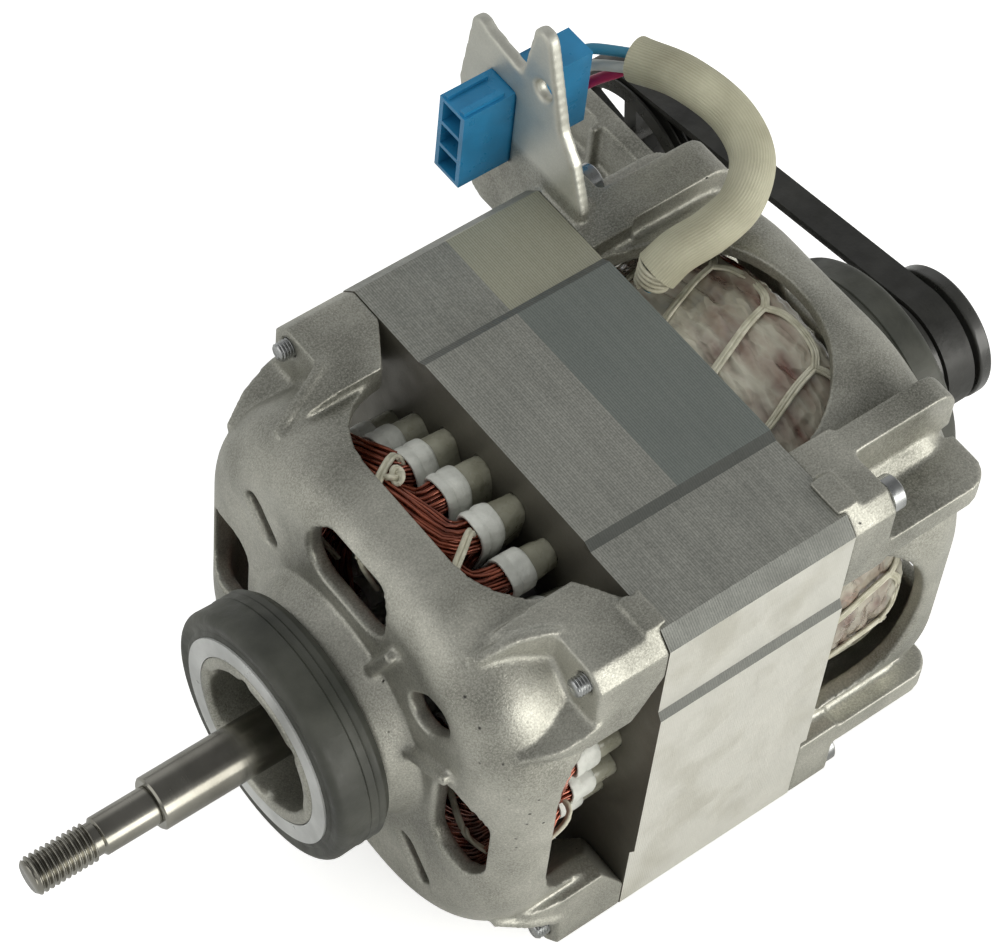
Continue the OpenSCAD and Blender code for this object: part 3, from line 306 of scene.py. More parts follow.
@dataclass(frozen=True)
class SheetEdges(Finish):
    """Edges of thin steel sheets stacked along X: each sheet has its own tone and step.

    The rear half of the stator's top is blued on the raised facet and browned beyond its groove.
    """

    sheet: float = 0.00065
    blued: Colour = (0.17, 0.20, 0.19)
    browned: Colour = (0.50, 0.49, 0.36)
    # Painted light for the side that faces -Y; stained mixes real stains into it.
    bright: Colour = (0.74, 0.73, 0.67)
    stained: Colour = (0.48, 0.46, 0.38)
    shaded: Colour = (0.07, 0.075, 0.07)
    punched: Colour = (0.12, 0.11, 0.085)
    joint_tone: Colour = (0.03, 0.032, 0.03)
    rear_x: float = 0.0868
    ragged: float = 0.0004
    top_z: float = 0.0612
    facet_y: float = 0.0301
    groove_y: float = 0.0325
    beyond_y: float = 0.0324
    sheet_step: float = 0.00004
    rolled_depth: float = 0.00003

    def _sheets(self, g: Graph, place: Socket) -> tuple:
        """The sheet's own random number, the place within the sheet, and the three coordinates."""
        axes = g.axes(place)
        count = g.math("DIVIDE", axes[0], self.sheet)
        own = g.node("ShaderNodeTexWhiteNoise", {"W": g.math("FLOOR", count)},
                     noise_dimensions="1D").outputs[0]
        return own, g.math("FRACT", count), axes

    def tint(self, g: Graph, place: Socket) -> Socket:
        """Colour of the sheets by place and facing: blued, browned and stained zones, painted light on
        the side facing -Y, and painted shade in the top grooves and on faces leaning up to -Y.
        """
        own, within, axes = self._sheets(g, place)
        fine = g.noise(place, 1700.0, 2.0)
        patch = g.noise(place, 60.0, 3.0)
        shade = g.plus(g.times(own, 0.1), g.plus(g.times(fine, 0.7), g.times(patch, 0.3)))
        seen = g.blend(g.span(shade, 0.25, 0.85), self.dark, self.light)
        rear = g.math("GREATER_THAN", axes[0], g.plus(self.rear_x, g.times(own, self.ragged)))
        top = g.math("GREATER_THAN", axes[2], self.top_z)
        rear_top = g.times(rear, top)
        off = g.math("ABSOLUTE", axes[1])
        facet = g.math("LESS_THAN", off, self.facet_y)
        beyond = g.math("GREATER_THAN", axes[1], self.beyond_y)
        groove = g.times(g.math("LESS_THAN", off, self.groove_y),
                         g.math("GREATER_THAN", off, self.facet_y))
        joint = g.span(g.math("PINGPONG", within, 0.5), 0.0, 0.25, 0.42, 0.0)
        facing = g.axes(g.node("ShaderNodeNewGeometry").outputs["Normal"])
        # The side that faces -Y gets painted light, mixed with real stains.
        side = g.math("LESS_THAN", facing[1], -0.96)
        stain = g.times(g.span(g.noise(place, 48.0, 6.0), 0.5, 0.66), 0.5)
        leaning = g.times(g.math("GREATER_THAN", facing[2], 0.05),
                          g.math("LESS_THAN", facing[1], -0.3))
        flat = g.math("GREATER_THAN", g.math("ABSOLUTE", facing[0]), 0.7)
        for zone, share, colour in (
                (g.times(rear_top, facet), 0.72, self.blued),
                (g.times(rear_top, beyond), 0.6, self.browned),
                (g.times(top, groove), 0.6, self.shaded),
                (joint, 1.0, self.joint_tone),
                (side, 0.8, g.blend(stain, self.bright, self.stained)),
                (leaning, 0.7, self.shaded),
                (flat, 0.85, self.punched)):
            seen = g.blend(g.times(zone, share), seen, colour)
        return seen

    def relief(self, g: Graph, place: Socket) -> Socket:
        """A step from sheet to sheet and a joint between them, over the rolled grain."""
        own, within, _ = self._sheets(g, place)
        ridge = g.math("PINGPONG", within, 0.5)
        height = g.plus(g.span(ridge, 0.0, 0.22), g.times(own, 0.5))
        rolled = g.bump(g.noise(place, 900.0, 3.0), self.rolled_depth)
        return g.bump(height, self.sheet_step, rolled)


@dataclass(frozen=True)
class Wires(Finish):
    """Enamelled or spun strands, whose tone comes from the wire's own attribute."""

    def tone(self, g: Graph, place: Socket) -> Socket:
        """Tone of each wire with slow patches along it."""
        own = g.node("ShaderNodeAttribute", attribute_name="tone").outputs["Fac"]
        patch = g.noise(place, self.patch, 3.0)
        return g.span(g.plus(g.times(own, 0.6), g.times(patch, 0.8)), 0.3, 1.1)


@dataclass(frozen=True)
class Crumpled(Finish):
    """Thin film in sharp folds of two sizes that run round the shaft, with painted shade in the folds.
    """

    fold: float = 150.0
    finer: float = 2.7
    drawn: float = 0.016
    stray_scale: float = 120.0
    stray: float = 0.004

    def _folds(self, g: Graph, place: Socket) -> Socket:
        """Height of the folds, from 0 in a crease to 1."""
        axes = g.axes(place)
        turn = g.times(g.math("ARCTAN2", axes[1], axes[2]), self.drawn)
        off = g.vector("LENGTH", g.vector("MULTIPLY", place, (0.0, 1.0, 1.0)))
        drawn = g.node("ShaderNodeCombineXYZ", {0: axes[0], 1: turn, 2: off}).outputs[0]
        stray = g.node("ShaderNodeTexNoise", {"Vector": place, "Scale": self.stray_scale,
                                              "Detail": 2.0}).outputs[1]
        bent = g.vector("ADD", drawn, g.vector("SCALE", stray, scale=self.stray))
        large = g.cells(bent, self.fold).outputs["Distance"]
        small = g.cells(bent, self.finer * self.fold).outputs["Distance"]
        return g.plus(g.times(large, 0.8), g.times(small, 0.35))

    def tone(self, g: Graph, place: Socket) -> Socket:
        """Painted light on the ridges and painted shade in the creases, in patches."""
        patch = g.times(g.noise(place, self.patch, 4.0), 0.9)
        return g.span(g.plus(self._folds(g, place), patch), 0.55, 1.2)

    def relief(self, g: Graph, place: Socket) -> Socket:
        """Normal of the folds."""
        return g.bump(self._folds(g, place), self.grain_depth)


@dataclass(frozen=True)
class Knit(Finish):
    """Woven tube: lengthwise ribs crossed by a fine weave, both in the piece's own UV map."""

    ribs: int = SLEEVE_RIBS
    turns: float = 260.0

    def _waves(self, g: Graph, axis: int, count: float) -> Socket:
        """Even waves from -1 to 1 along one axis of the UV map."""
        uv = g.axes(g.node("ShaderNodeTexCoord").outputs["UV"])
        return g.math("SINE", g.times(uv[axis], count * math.tau))

    def relief(self, g: Graph, place: Socket) -> Socket:
        """Ribs and weave."""
        around = self._waves(g, 1, self.ribs)
        weave = g.times(self._waves(g, 0, self.turns), around)
        return g.bump(g.plus(g.times(around, 0.5), g.times(weave, 0.3)), self.grain_depth)

    def tone(self, g: Graph, place: Socket) -> Socket:
        """Painted light on the ribs and painted shade in the lines between them."""
        ribs = g.times(self._waves(g, 1, self.ribs), 0.09)
        return g.span(g.plus(ribs, g.noise(place, self.patch, 4.0)), 0.15, 0.75)


class Palette(Enum):
    """The finishes of this motor."""

    CAST = CastSkin("cast_aluminium", (0.16, 0.16, 0.135), (0.76, 0.75, 0.67), 0.7, (0.34, 0.52),
                    38.0, 2100.0, 0.00008)
    SHEETS = SheetEdges("stacked_sheets", (0.20, 0.205, 0.185), (0.44, 0.44, 0.40), 0.5,
                        (0.36, 0.52))
    SHEETS_ROTOR = SheetEdges("rotor_sheets", (0.10, 0.10, 0.10), (0.26, 0.26, 0.25), 0.8,
                              (0.3, 0.5))
    CAGE = Finish("cage_aluminium", (0.35, 0.35, 0.35), (0.6, 0.6, 0.6), 0.9, (0.35, 0.6))
    COPPER = Wires("enamelled_copper", (0.13, 0.028, 0.016), (0.58, 0.165, 0.09), 0.6,
                   (0.14, 0.28), 120.0, 1200.0, 0.00001, 0.8)
    LINER = Finish("liner_film", (0.19, 0.185, 0.135), (0.38, 0.375, 0.30), 0.0, (0.2, 0.42), 120.0,
                   420.0, 0.0003, 0.45)
    CUFF = Finish("cuff_film", (0.52, 0.53, 0.49), (0.80, 0.81, 0.76), 0.0, (0.35, 0.55), 160.0,
                  380.0, 0.0005)
    FILM = Crumpled("end_film", (0.24, 0.125, 0.10), (0.64, 0.61, 0.50), 0.0, (0.07, 0.22), 110.0,
                    600.0, 0.003, 0.9, 0.6, 0.7)
    CORD = Wires("lacing_cord", (0.42, 0.40, 0.30), (0.70, 0.68, 0.56), 0.0, (0.5, 0.7), 300.0,
                 2600.0, 0.00006)
    RING_FACE = Finish("ring_insert_face", (0.42, 0.43, 0.42), (0.72, 0.73, 0.72), 0.2,
                       (0.25, 0.5), 60.0, 900.0, 0.00004)
    RING_RUBBER = Finish("ring_rubber", (0.030, 0.032, 0.026), (0.085, 0.087, 0.073), 0.0,
                         (0.36, 0.62), 60.0, 900.0, 0.00008, 0.0, 0.4)
    POLISHED = Finish("polished_steel", (0.19, 0.183, 0.158), (0.36, 0.35, 0.31), 1.0,
                      (0.12, 0.28), 60.0, 2500.0, 0.000006, turned=2600.0)
    BEARING = Finish("bearing_steel", (0.45, 0.45, 0.46), (0.62, 0.62, 0.63), 1.0, (0.12, 0.25),
                     50.0, 2500.0, 0.000005, turned=1800.0)
    ZINC = Finish("bright_zinc", (0.30, 0.31, 0.31), (0.52, 0.53, 0.53), 1.0, (0.2, 0.4), 150.0,
                  1500.0, 0.00002)
    SPRING = Finish("dark_spring_steel", (0.03, 0.03, 0.032), (0.10, 0.10, 0.10), 0.9,
                    (0.3, 0.5), 120.0, 1500.0, 0.00002)
    RETAINER = Finish("retainer_plastic", (0.35, 0.26, 0.12), (0.50, 0.38, 0.20), 0.0)
    BLACK = Finish("pulley_black", (0.018, 0.018, 0.016), (0.042, 0.042, 0.038), 0.0,
                   (0.2, 0.4), 55.0, 1300.0, 0.00002, 0.3)
    BELT = Finish("belt_rubber", (0.008, 0.008, 0.007), (0.030, 0.030, 0.026), 0.0, (0.4, 0.65),
                  70.0, 1100.0, 0.00007)
    BRONZE = Finish("sintered_bronze", (0.32, 0.19, 0.08), (0.52, 0.34, 0.16), 1.0, (0.35, 0.55))
    PLUG_BLUE = Finish("connector_blue", (0.014, 0.155, 0.31), (0.026, 0.26, 0.52), 0.0,
                       (0.24, 0.38), 60.0, 900.0, 0.00003, 0.2)
    TINNED = Finish("tinned_brass", (0.5, 0.45, 0.32), (0.75, 0.70, 0.55), 1.0, (0.25, 0.45))
    WIRE_BLUE = Finish("lead_blue", (0.03, 0.19, 0.31), (0.06, 0.30, 0.44), 0.0, (0.3, 0.45))
    WIRE_WHITE = Finish("lead_white", (0.50, 0.505, 0.47), (0.70, 0.705, 0.66), 0.0, (0.3, 0.45))
    WIRE_RED = Finish("lead_red", (0.33, 0.015, 0.075), (0.52, 0.032, 0.125), 0.0, (0.3, 0.45))
    SLEEVE = Knit("sleeve_weave", (0.29, 0.272, 0.19), (0.53, 0.515, 0.385), 0.0, (0.55, 0.75),
                  80.0, 1500.0, 0.00007)


# Mesh helpers


def linked(name: str, data: bpy.types.ID) -> Piece:
    """Puts a new object with some data into the scene."""
    made = bpy.data.objects.new(name, data)
    bpy.context.scene.collection.objects.link(made)
    return made


def even_turn(sides: int) -> np.ndarray:
    """Even angles round a full turn."""
    return np.linspace(0, math.tau, sides, endpoint=False)


def new_piece(name: str, verts: np.ndarray, faces: list, finish: Palette,
              crease_deg: float = 35.0) -> Piece:
    """Makes a mesh object at the origin, smooth except at its creases.

    Args:
        name: The object's name.
        verts: Points in metres.
        faces: Index lists.
        finish: The finish that it gets.
        crease_deg: Edges that turn more than this stay sharp.

    Returns:
        The linked object.
    """
    mesh = bpy.data.meshes.new(name)
    mesh.from_pydata([tuple(v) for v in verts], [], faces)
    mesh.update()
    piece = linked(name, mesh)
    mesh.polygons.foreach_set("use_smooth", [True] * len(mesh.polygons))
    mesh.set_sharp_from_angle(angle=math.radians(crease_deg))
    mesh.materials.append(finish.value.material())
    return piece


def smooth_path(points: np.ndarray, step: float) -> np.ndarray:
    """Runs a smooth curve through points and spaces it evenly.

    Args:
        points: Points in metres.
        step: Distance between the new points, in metres.

    Returns:
        The new points.
    """
    p = np.vstack([2 * points[0] - points[1], points, 2 * points[-1] - points[-2]])
    samples = 12
    t = np.linspace(0.0, 1.0, samples, endpoint=False)[:, None]
    fine = [0.5 * (2 * b + (c - a) * t + (2 * a - 5 * b + 4 * c - d) * t ** 2
                   + (3 * b - a - 3 * c + d) * t ** 3)
            for a, b, c, d in zip(p[:-3], p[1:-2], p[2:-1], p[3:])]
    fine = np.vstack([*fine, p[-2]])
    run = np.concatenate([[0.0], np.cumsum(np.linalg.norm(np.diff(fine, axis=0), axis=1))])
    at = np.linspace(0.0, run[-1], max(3, int(run[-1] / step) + 1))
    return np.stack([np.interp(at, run, fine[:, k]) for k in range(3)], axis=1)


def frames(path: np.ndarray) -> tuple[np.ndarray, np.ndarray]:
    """Two unit vectors across a path at each point, turned as little as possible.

    Args:
        path: Points in metres.

    Returns:
        Both vectors at each point.
    """
    ahead = np.gradient(path, axis=0)
    ahead /= np.linalg.norm(ahead, axis=1)[:, None]
    side = np.zeros_like(path)
    v = np.array([0.0, 0.3, 1.0])
    for i, d in enumerate(ahead):
        v = v - (v @ d) * d
        v /= np.linalg.norm(v)
        side[i] = v
    return side, np.cross(ahead, side)


def grid_piece(name: str, rings: np.ndarray, finish: Palette, caps: bool = True,
               crease_deg: float = 35.0) -> Piece:
    """Joins closed rings of points to a tube, with its own UV map.

    Args:
        name: The object's name.
        rings: Points by ring and by place in the ring.
        finish: The finish that it gets.
        caps: Whether both ends are closed.
        crease_deg: Edges that turn more than this stay sharp.

    Returns:
        The linked object, with its faces pointing outwards.
    """
    n, m = rings.shape[:2]
    faces = [(i * m + j, i * m + (j + 1) % m, (i + 1) * m + (j + 1) % m, (i + 1) * m + j)
             for i in range(n - 1) for j in range(m)]
    if caps:
        faces += [tuple(range(m - 1, -1, -1)), tuple(range((n - 1) * m, n * m))]
    piece = new_piece(name, rings.reshape(-1, 3), faces, finish, crease_deg)
    uv = piece.data.uv_layers.new(name="UVMap")
    for face in piece.data.polygons:
        wrap = any(v % m == m - 1 for v in face.vertices) and any(v % m == 0 for v in face.vertices)
        for loop, v in zip(face.loop_indices, face.vertices):
            j = v % m + (m if wrap and v % m == 0 else 0)
            uv.data[loop].uv = (v // m / (n - 1), j / m)
    work = bmesh.new()
    work.from_mesh(piece.data)
    bmesh.ops.recalc_face_normals(work, faces=work.faces)
    work.to_mesh(piece.data)
    work.free()
    return piece


def lathe(name: str, profile: list[tuple[float, float]], finish: Palette, sides: int = 64,
          centre: tuple[float, float] = (0.0, 0.0), caps: bool = True) -> Piece:
    """Turns a profile about a line along X.

    Args:
        name: The object's name.
        profile: Pairs of x and radius in millimetres, along the outline.
        finish: The finish that it gets.
        sides: Number of sides.
        centre: The line's y and z in millimetres.
        caps: Whether both ends are closed. A ring's profile comes back to its start instead.

    Returns:
        The linked object.
    """
    a = even_turn(sides)
    rings = np.array([np.stack([np.full(sides, x), centre[0] + r * np.cos(a),
                                centre[1] + r * np.sin(a)], axis=1) for x, r in profile]) * MM
    return grid_piece(name, rings, finish, caps)


def threaded(name: str, x0: float, x1: float, radius: float, pitch: float, finish: Palette,
             centre: tuple[float, float] = (0.0, 0.0), sides: int = 48) -> Piece:
    """Makes a rod with a right-hand outside thread and a chamfered tip at x0.

    Args:
        name: The object's name.
        x0: Tip in millimetres.
        x1: Other end in millimetres.
        radius: Outer radius in millimetres.
        pitch: Pitch in millimetres.
        finish: The finish that it gets.
        centre: The rod's y and z in millimetres.
        sides: Number of sides.

    Returns:
        The linked object.
    """
    rings_per_turn, depth, chamfer = 14, 0.58 * pitch, 0.62 * pitch
    a = even_turn(sides)
    xs = np.linspace(x0, x1, int((x1 - x0) / pitch * rings_per_turn) + 2)
    phase = (xs[:, None] / pitch + a[None, :] / math.tau) % 1.0
    groove = depth * np.clip(1.35 * np.abs(2 * phase - 1) - 0.18, 0.0, 1.0)
    r = np.minimum(radius - groove, radius - chamfer + (xs[:, None] - x0))
    rings = np.stack([np.broadcast_to(xs[:, None], r.shape), centre[0] + r * np.cos(a),
                      centre[1] + r * np.sin(a)], axis=2) * MM
    return grid_piece(name, rings, finish, crease_deg=70.0)


def joined(name: str, parts: list[Piece]) -> Piece:
    """Joins pieces to one object.

    Args:
        name: The new object's name.
        parts: The pieces, which end up in the first of them.

    Returns:
        The joined object.
    """
    with bpy.context.temp_override(active_object=parts[0], selected_editable_objects=parts,
                                   object=parts[0], selected_objects=parts):
        bpy.ops.object.join()
    parts[0].name = name
    parts[0].data.name = name
    return parts[0]


# Wires along paths


class StrandTree:
    """Geometry Nodes tree that lays wires side by side along every path of an object."""

    APART = 1.73
    WAVES = 95.0
    SEED = 11
    SOCKETS = (("Wires", "NodeSocketInt"), ("Across", "NodeSocketFloat"), ("Deep", "NodeSocketFloat"),
               ("Wire radius", "NodeSocketFloat"), ("Twist", "NodeSocketFloat"),
               ("Wander", "NodeSocketFloat"), ("Sides", "NodeSocketInt"),
               ("Material", "NodeSocketMaterial"))

    def __init__(self) -> None:
        """Builds the tree and keeps the identifiers of its inputs."""
        self.tree = bpy.data.node_groups.new("strands", "GeometryNodeTree")
        face = self.tree.interface
        face.new_socket(name="Paths", in_out="INPUT", socket_type="NodeSocketGeometry")
        self.ids = {name: face.new_socket(name=name, in_out="INPUT", socket_type=kind).identifier
                    for name, kind in self.SOCKETS}
        face.new_socket(name="Strands", in_out="OUTPUT", socket_type="NodeSocketGeometry")
        self._fill(Graph(self.tree))

    def _fill(self, g: Graph) -> None:
        """Adds the nodes: wires fill an oval at the golden angle, stray a little and become tubes."""
        given = g.node("NodeGroupInput").outputs
        lines = g.node("GeometryNodeMeshToCurve", {0: given["Paths"]}).outputs[0]
        copies = g.node("GeometryNodeDuplicateElements", {"Geometry": lines, "Amount": given["Wires"]},
                        domain="SPLINE").outputs
        index = copies[1]
        place = g.node("GeometryNodeInputPosition").outputs[0]
        axes = g.axes(place)
        out = g.node("ShaderNodeCombineXYZ", {1: axes[1], 2: axes[2]}).outputs[0]
        ahead = g.node("GeometryNodeInputTangent").outputs[0]
        side = g.vector("NORMALIZE", g.vector("CROSS_PRODUCT", ahead, out))
        up = g.vector("CROSS_PRODUCT", side, ahead)
        run = g.node("GeometryNodeSplineParameter").outputs[1]
        turn = g.plus(g.times(index, GOLDEN_ANGLE), g.times(run, given["Twist"]))
        share = g.math("SQRT", g.math("DIVIDE", g.plus(index, 0.5), given["Wires"]))
        across = g.times(g.times(g.math("COSINE", turn), share), given["Across"])
        deep = g.times(g.times(g.math("SINE", turn), share), given["Deep"])
        offset = g.vector("ADD", g.vector("SCALE", side, scale=across),
                          g.vector("SCALE", up, scale=deep))
        wave = g.node("ShaderNodeTexNoise", {"Vector": place, "W": g.times(index, self.APART),
                                             "Scale": self.WAVES, "Detail": 1.0},
                      noise_dimensions="4D").outputs[1]
        wave = g.vector("SCALE", g.vector("SUBTRACT", wave, (0.5, 0.5, 0.5)), scale=given["Wander"])
        moved = g.node("GeometryNodeSetPosition", {"Geometry": copies[0],
                                                   "Offset": g.vector("ADD", offset, wave)}).outputs[0]
        number = g.plus(g.times(index, 7.0), g.node("GeometryNodeInputID").outputs[0])
        own = g.node("FunctionNodeRandomValue", {"ID": number, "Seed": self.SEED},
                     data_type="FLOAT").outputs[1]
        toned = g.node("GeometryNodeStoreNamedAttribute", {"Geometry": moved, "Name": "tone",
                                                           "Value": own},
                       data_type="FLOAT", domain="POINT").outputs[0]
        ring = g.node("GeometryNodeCurvePrimitiveCircle", {"Resolution": given["Sides"],
                                                           "Radius": given["Wire radius"]},
                      mode="RADIUS").outputs[0]
        tubes = g.node("GeometryNodeCurveToMesh", {"Curve": toned, "Profile Curve": ring,
                                                   "Fill Caps": True}).outputs[0]
        smooth = g.node("GeometryNodeSetShadeSmooth", {"Geometry": tubes}).outputs[0]
        real = g.node("GeometryNodeRealizeInstances", {"Geometry": smooth}).outputs[0]
        done = g.node("GeometryNodeSetMaterial", {"Geometry": real,
                                                  "Material": given["Material"]}).outputs[0]
        g.node("NodeGroupOutput", {"Strands": done})

    def lay(self, name: str, paths: list[np.ndarray], finish: Palette, wires: int, across: float,
            deep: float, wire_radius: float, twist: float = 0.0, wander: float = 0.0,
            sides: int = 5) -> Piece:
        """Lays wires along paths.

        Args:
            name: The new object's name.
            paths: Centre lines, points in metres.
            finish: The finish that the wires get.
            wires: Wires along each path.
            across: Half width of the bundle round the shaft, in millimetres.
            deep: Half thickness of the bundle away from the shaft, in millimetres.
            wire_radius: Radius of a wire in millimetres.
            twist: Turn of the bundle in radians a metre.
            wander: How far a wire strays, in millimetres.
            sides: Sides of each wire.

        Returns:
            The wires as one plain mesh object.
        """
        verts = np.vstack(paths)
        ends = set(np.cumsum([len(p) for p in paths]).tolist())
        edges = [(i, i + 1) for i in range(len(verts) - 1) if i + 1 not in ends]
        lines = bpy.data.meshes.new(name + "_paths")
        lines.from_pydata([tuple(v) for v in verts], edges, [])
        source = linked(name + "_paths", lines)
        modifier = source.modifiers.new("strands", "NODES")
        modifier.node_group = self.tree
        values = (wires, across * MM, deep * MM, wire_radius * MM, twist, wander * MM, sides,
                  finish.value.material())
        for (socket, _), value in zip(self.SOCKETS, values):
            modifier[self.ids[socket]] = value
        source.update_tag()
        bpy.context.view_layer.update()
        graph = bpy.context.evaluated_depsgraph_get()
        mesh = bpy.data.meshes.new_from_object(source.evaluated_get(graph),
                                               preserve_all_data_layers=True, depsgraph=graph)
        mesh.name = name
        piece = linked(name, mesh)
        bpy.data.objects.remove(source)
        return piece


# Sub-assemblies


class SubAssembly:
    """Base of the sub-assemblies: it dresses CAD nodes and places new pieces on bodies."""

    def dress(self, finish: Palette, *nodes: str) -> None:
        """Gives CAD nodes a finish."""
        for name in nodes:
            node = frame["nodes"][name]
            node.data.materials.clear()
            node.data.materials.append(finish.value.material())
            LOG.info("dressed %s", name)

    def place(self, piece: Piece, slot: str, *nodes: str, body: Body = Body.FRAME) -> None:
        """Puts a new piece on its body in place of CAD nodes.

        Args:
            piece: The new piece.
            slot: The record's material slot. It is not used.
            nodes: CAD nodes that it stands for.
            body: The body that it moves with.
        """
        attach(piece, body.value)
        if nodes:
            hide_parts(*nodes)
        LOG.info("made %s, %d faces", piece.name, len(piece.data.polygons))


@dataclass
class CastBells(SubAssembly):
    """Both die-cast bells, with their sharp solid edges worn to cast ones."""

    voxel: float = 0.72 * MM
    passes: int = 5
    most_faces: int = 180000

    def soften(self, node: str, name: str) -> Piece:
        """Remeshes a bell's solid evenly and smooths its edges.

        Args:
            node: The bell's CAD node.
            name: The new object's name.

        Returns:
            The cast bell.
        """
        mesh = frame["nodes"][node].data.copy()
        work = bmesh.new()
        work.from_mesh(mesh)
        bmesh.ops.remove_doubles(work, verts=work.verts, dist=1e-6)
        work.to_mesh(mesh)
        work.free()
        source = linked(name, mesh)
        remesh = source.modifiers.new("even", "REMESH")
        remesh.mode, remesh.voxel_size = "VOXEL", self.voxel
        smooth = source.modifiers.new("worn", "SMOOTH")
        smooth.factor, smooth.iterations = 0.5, self.passes
        graph = bpy.context.evaluated_depsgraph_get()
        count = 2 * len(source.evaluated_get(graph).data.polygons)
        fewer = source.modifiers.new("fewer", "DECIMATE")
        fewer.ratio = min(1.0, self.most_faces / count)
        graph = bpy.context.evaluated_depsgraph_get()
        cast = bpy.data.meshes.new_from_object(source.evaluated_get(graph), depsgraph=graph)
        source.modifiers.clear()
        source.data = cast
        cast.materials.clear()
        cast.materials.append(Palette.CAST.value.material())
        cast.polygons.foreach_set("use_smooth", [True] * len(cast.polygons))
        return source

    def build(self) -> None:
        """Makes both bells."""
        for end in End:
            node = f"{end.value}_bell"
            self.place(self.soften(node, f"{node}_cast"), "cast", node)


@dataclass
class SheetCore(SubAssembly):
    """The stator's stack and the rotor inside it."""

    def build(self) -> None:
        """Dresses the stacks and the rotor's cage."""
        self.dress(Palette.SHEETS, "stator_core")
        self.dress(Palette.SHEETS_ROTOR, "rotor_core")
        self.dress(Palette.CAGE, "rotor_cage")


@dataclass
class CoilSet:
    """One winding of two poles: its coils' paths from slot to slot, in millimetres and degrees."""

    pole: float
    coils: int
    first: float
    slot_r: float
    r_odd: float
    r_even: float
    low: float
    half_width: float
    level: float = 3.2
    pitch: float = 15.0
    swell: float = 0.55
    overlap: float = 3.0
    step: float = 2.55

    def _each(self) -> Iterator[tuple[float, int, float]]:
        """Every coil: its pole's angle, its number from the inside out and half its span."""
        for pole in (self.pole, self.pole + 180.0):
            for k in range(1, self.coils + 1):
                yield pole, k, (self.first + k) * self.pitch

    def _arch(self, pole: float, k: int, half: float, end: End) -> np.ndarray:
        """Points of one end turn, from slot to slot.

        Args:
            pole: The pole's angle.
            k: The coil's number.
            half: Half the coil's span.
            end: The end of the motor.

        Returns:
            The points, with one more inside the slot at both ends.
        """
        way, start = (-1.0, CUFF_X[0]) if end is End.FRONT else (1.0, CUFF_X[1])
        t = np.linspace(0.0, 1.0, 13)
        b = np.sin(math.pi * t) ** self.swell
        a0, a1 = pole - half, pole + half
        a = np.radians(a0 + (a1 - a0) * (1 - np.cos(math.pi * t)) / 2)
        r = self.slot_r + ((self.r_odd if k % 2 else self.r_even) - self.slot_r) * b
        x = start + way * (self.low + (k - 1) * self.level) * b
        points = np.stack([x, r * np.cos(a), r * np.sin(a)], axis=1)
        inside = (x[0] - way * self.overlap, 0, 0)
        return np.vstack([points[0] * (0, 1, 1) + inside, points, points[-1] * (0, 1, 1) + inside])

    def turns(self, end: End) -> list[np.ndarray]:
        """All end turns at one end, as smooth paths in metres."""
        return [smooth_path(self._arch(pole, k, half, end) * MM, self.step * MM)
                for pole, k, half in self._each()]

    def runs(self) -> list[np.ndarray]:
        """The straight stretches in the slots, in metres."""
        paths = []
        for pole, _, half in self._each():
            for a in (math.radians(pole - half), math.radians(pole + half)):
                y, z = self.slot_r * math.cos(a), self.slot_r * math.sin(a)
                paths.append(np.array([[x, y, z] for x in (CUFF_X[0], sum(CUFF_X) / 2,
                                                           CUFF_X[1])]) * MM)
        return paths


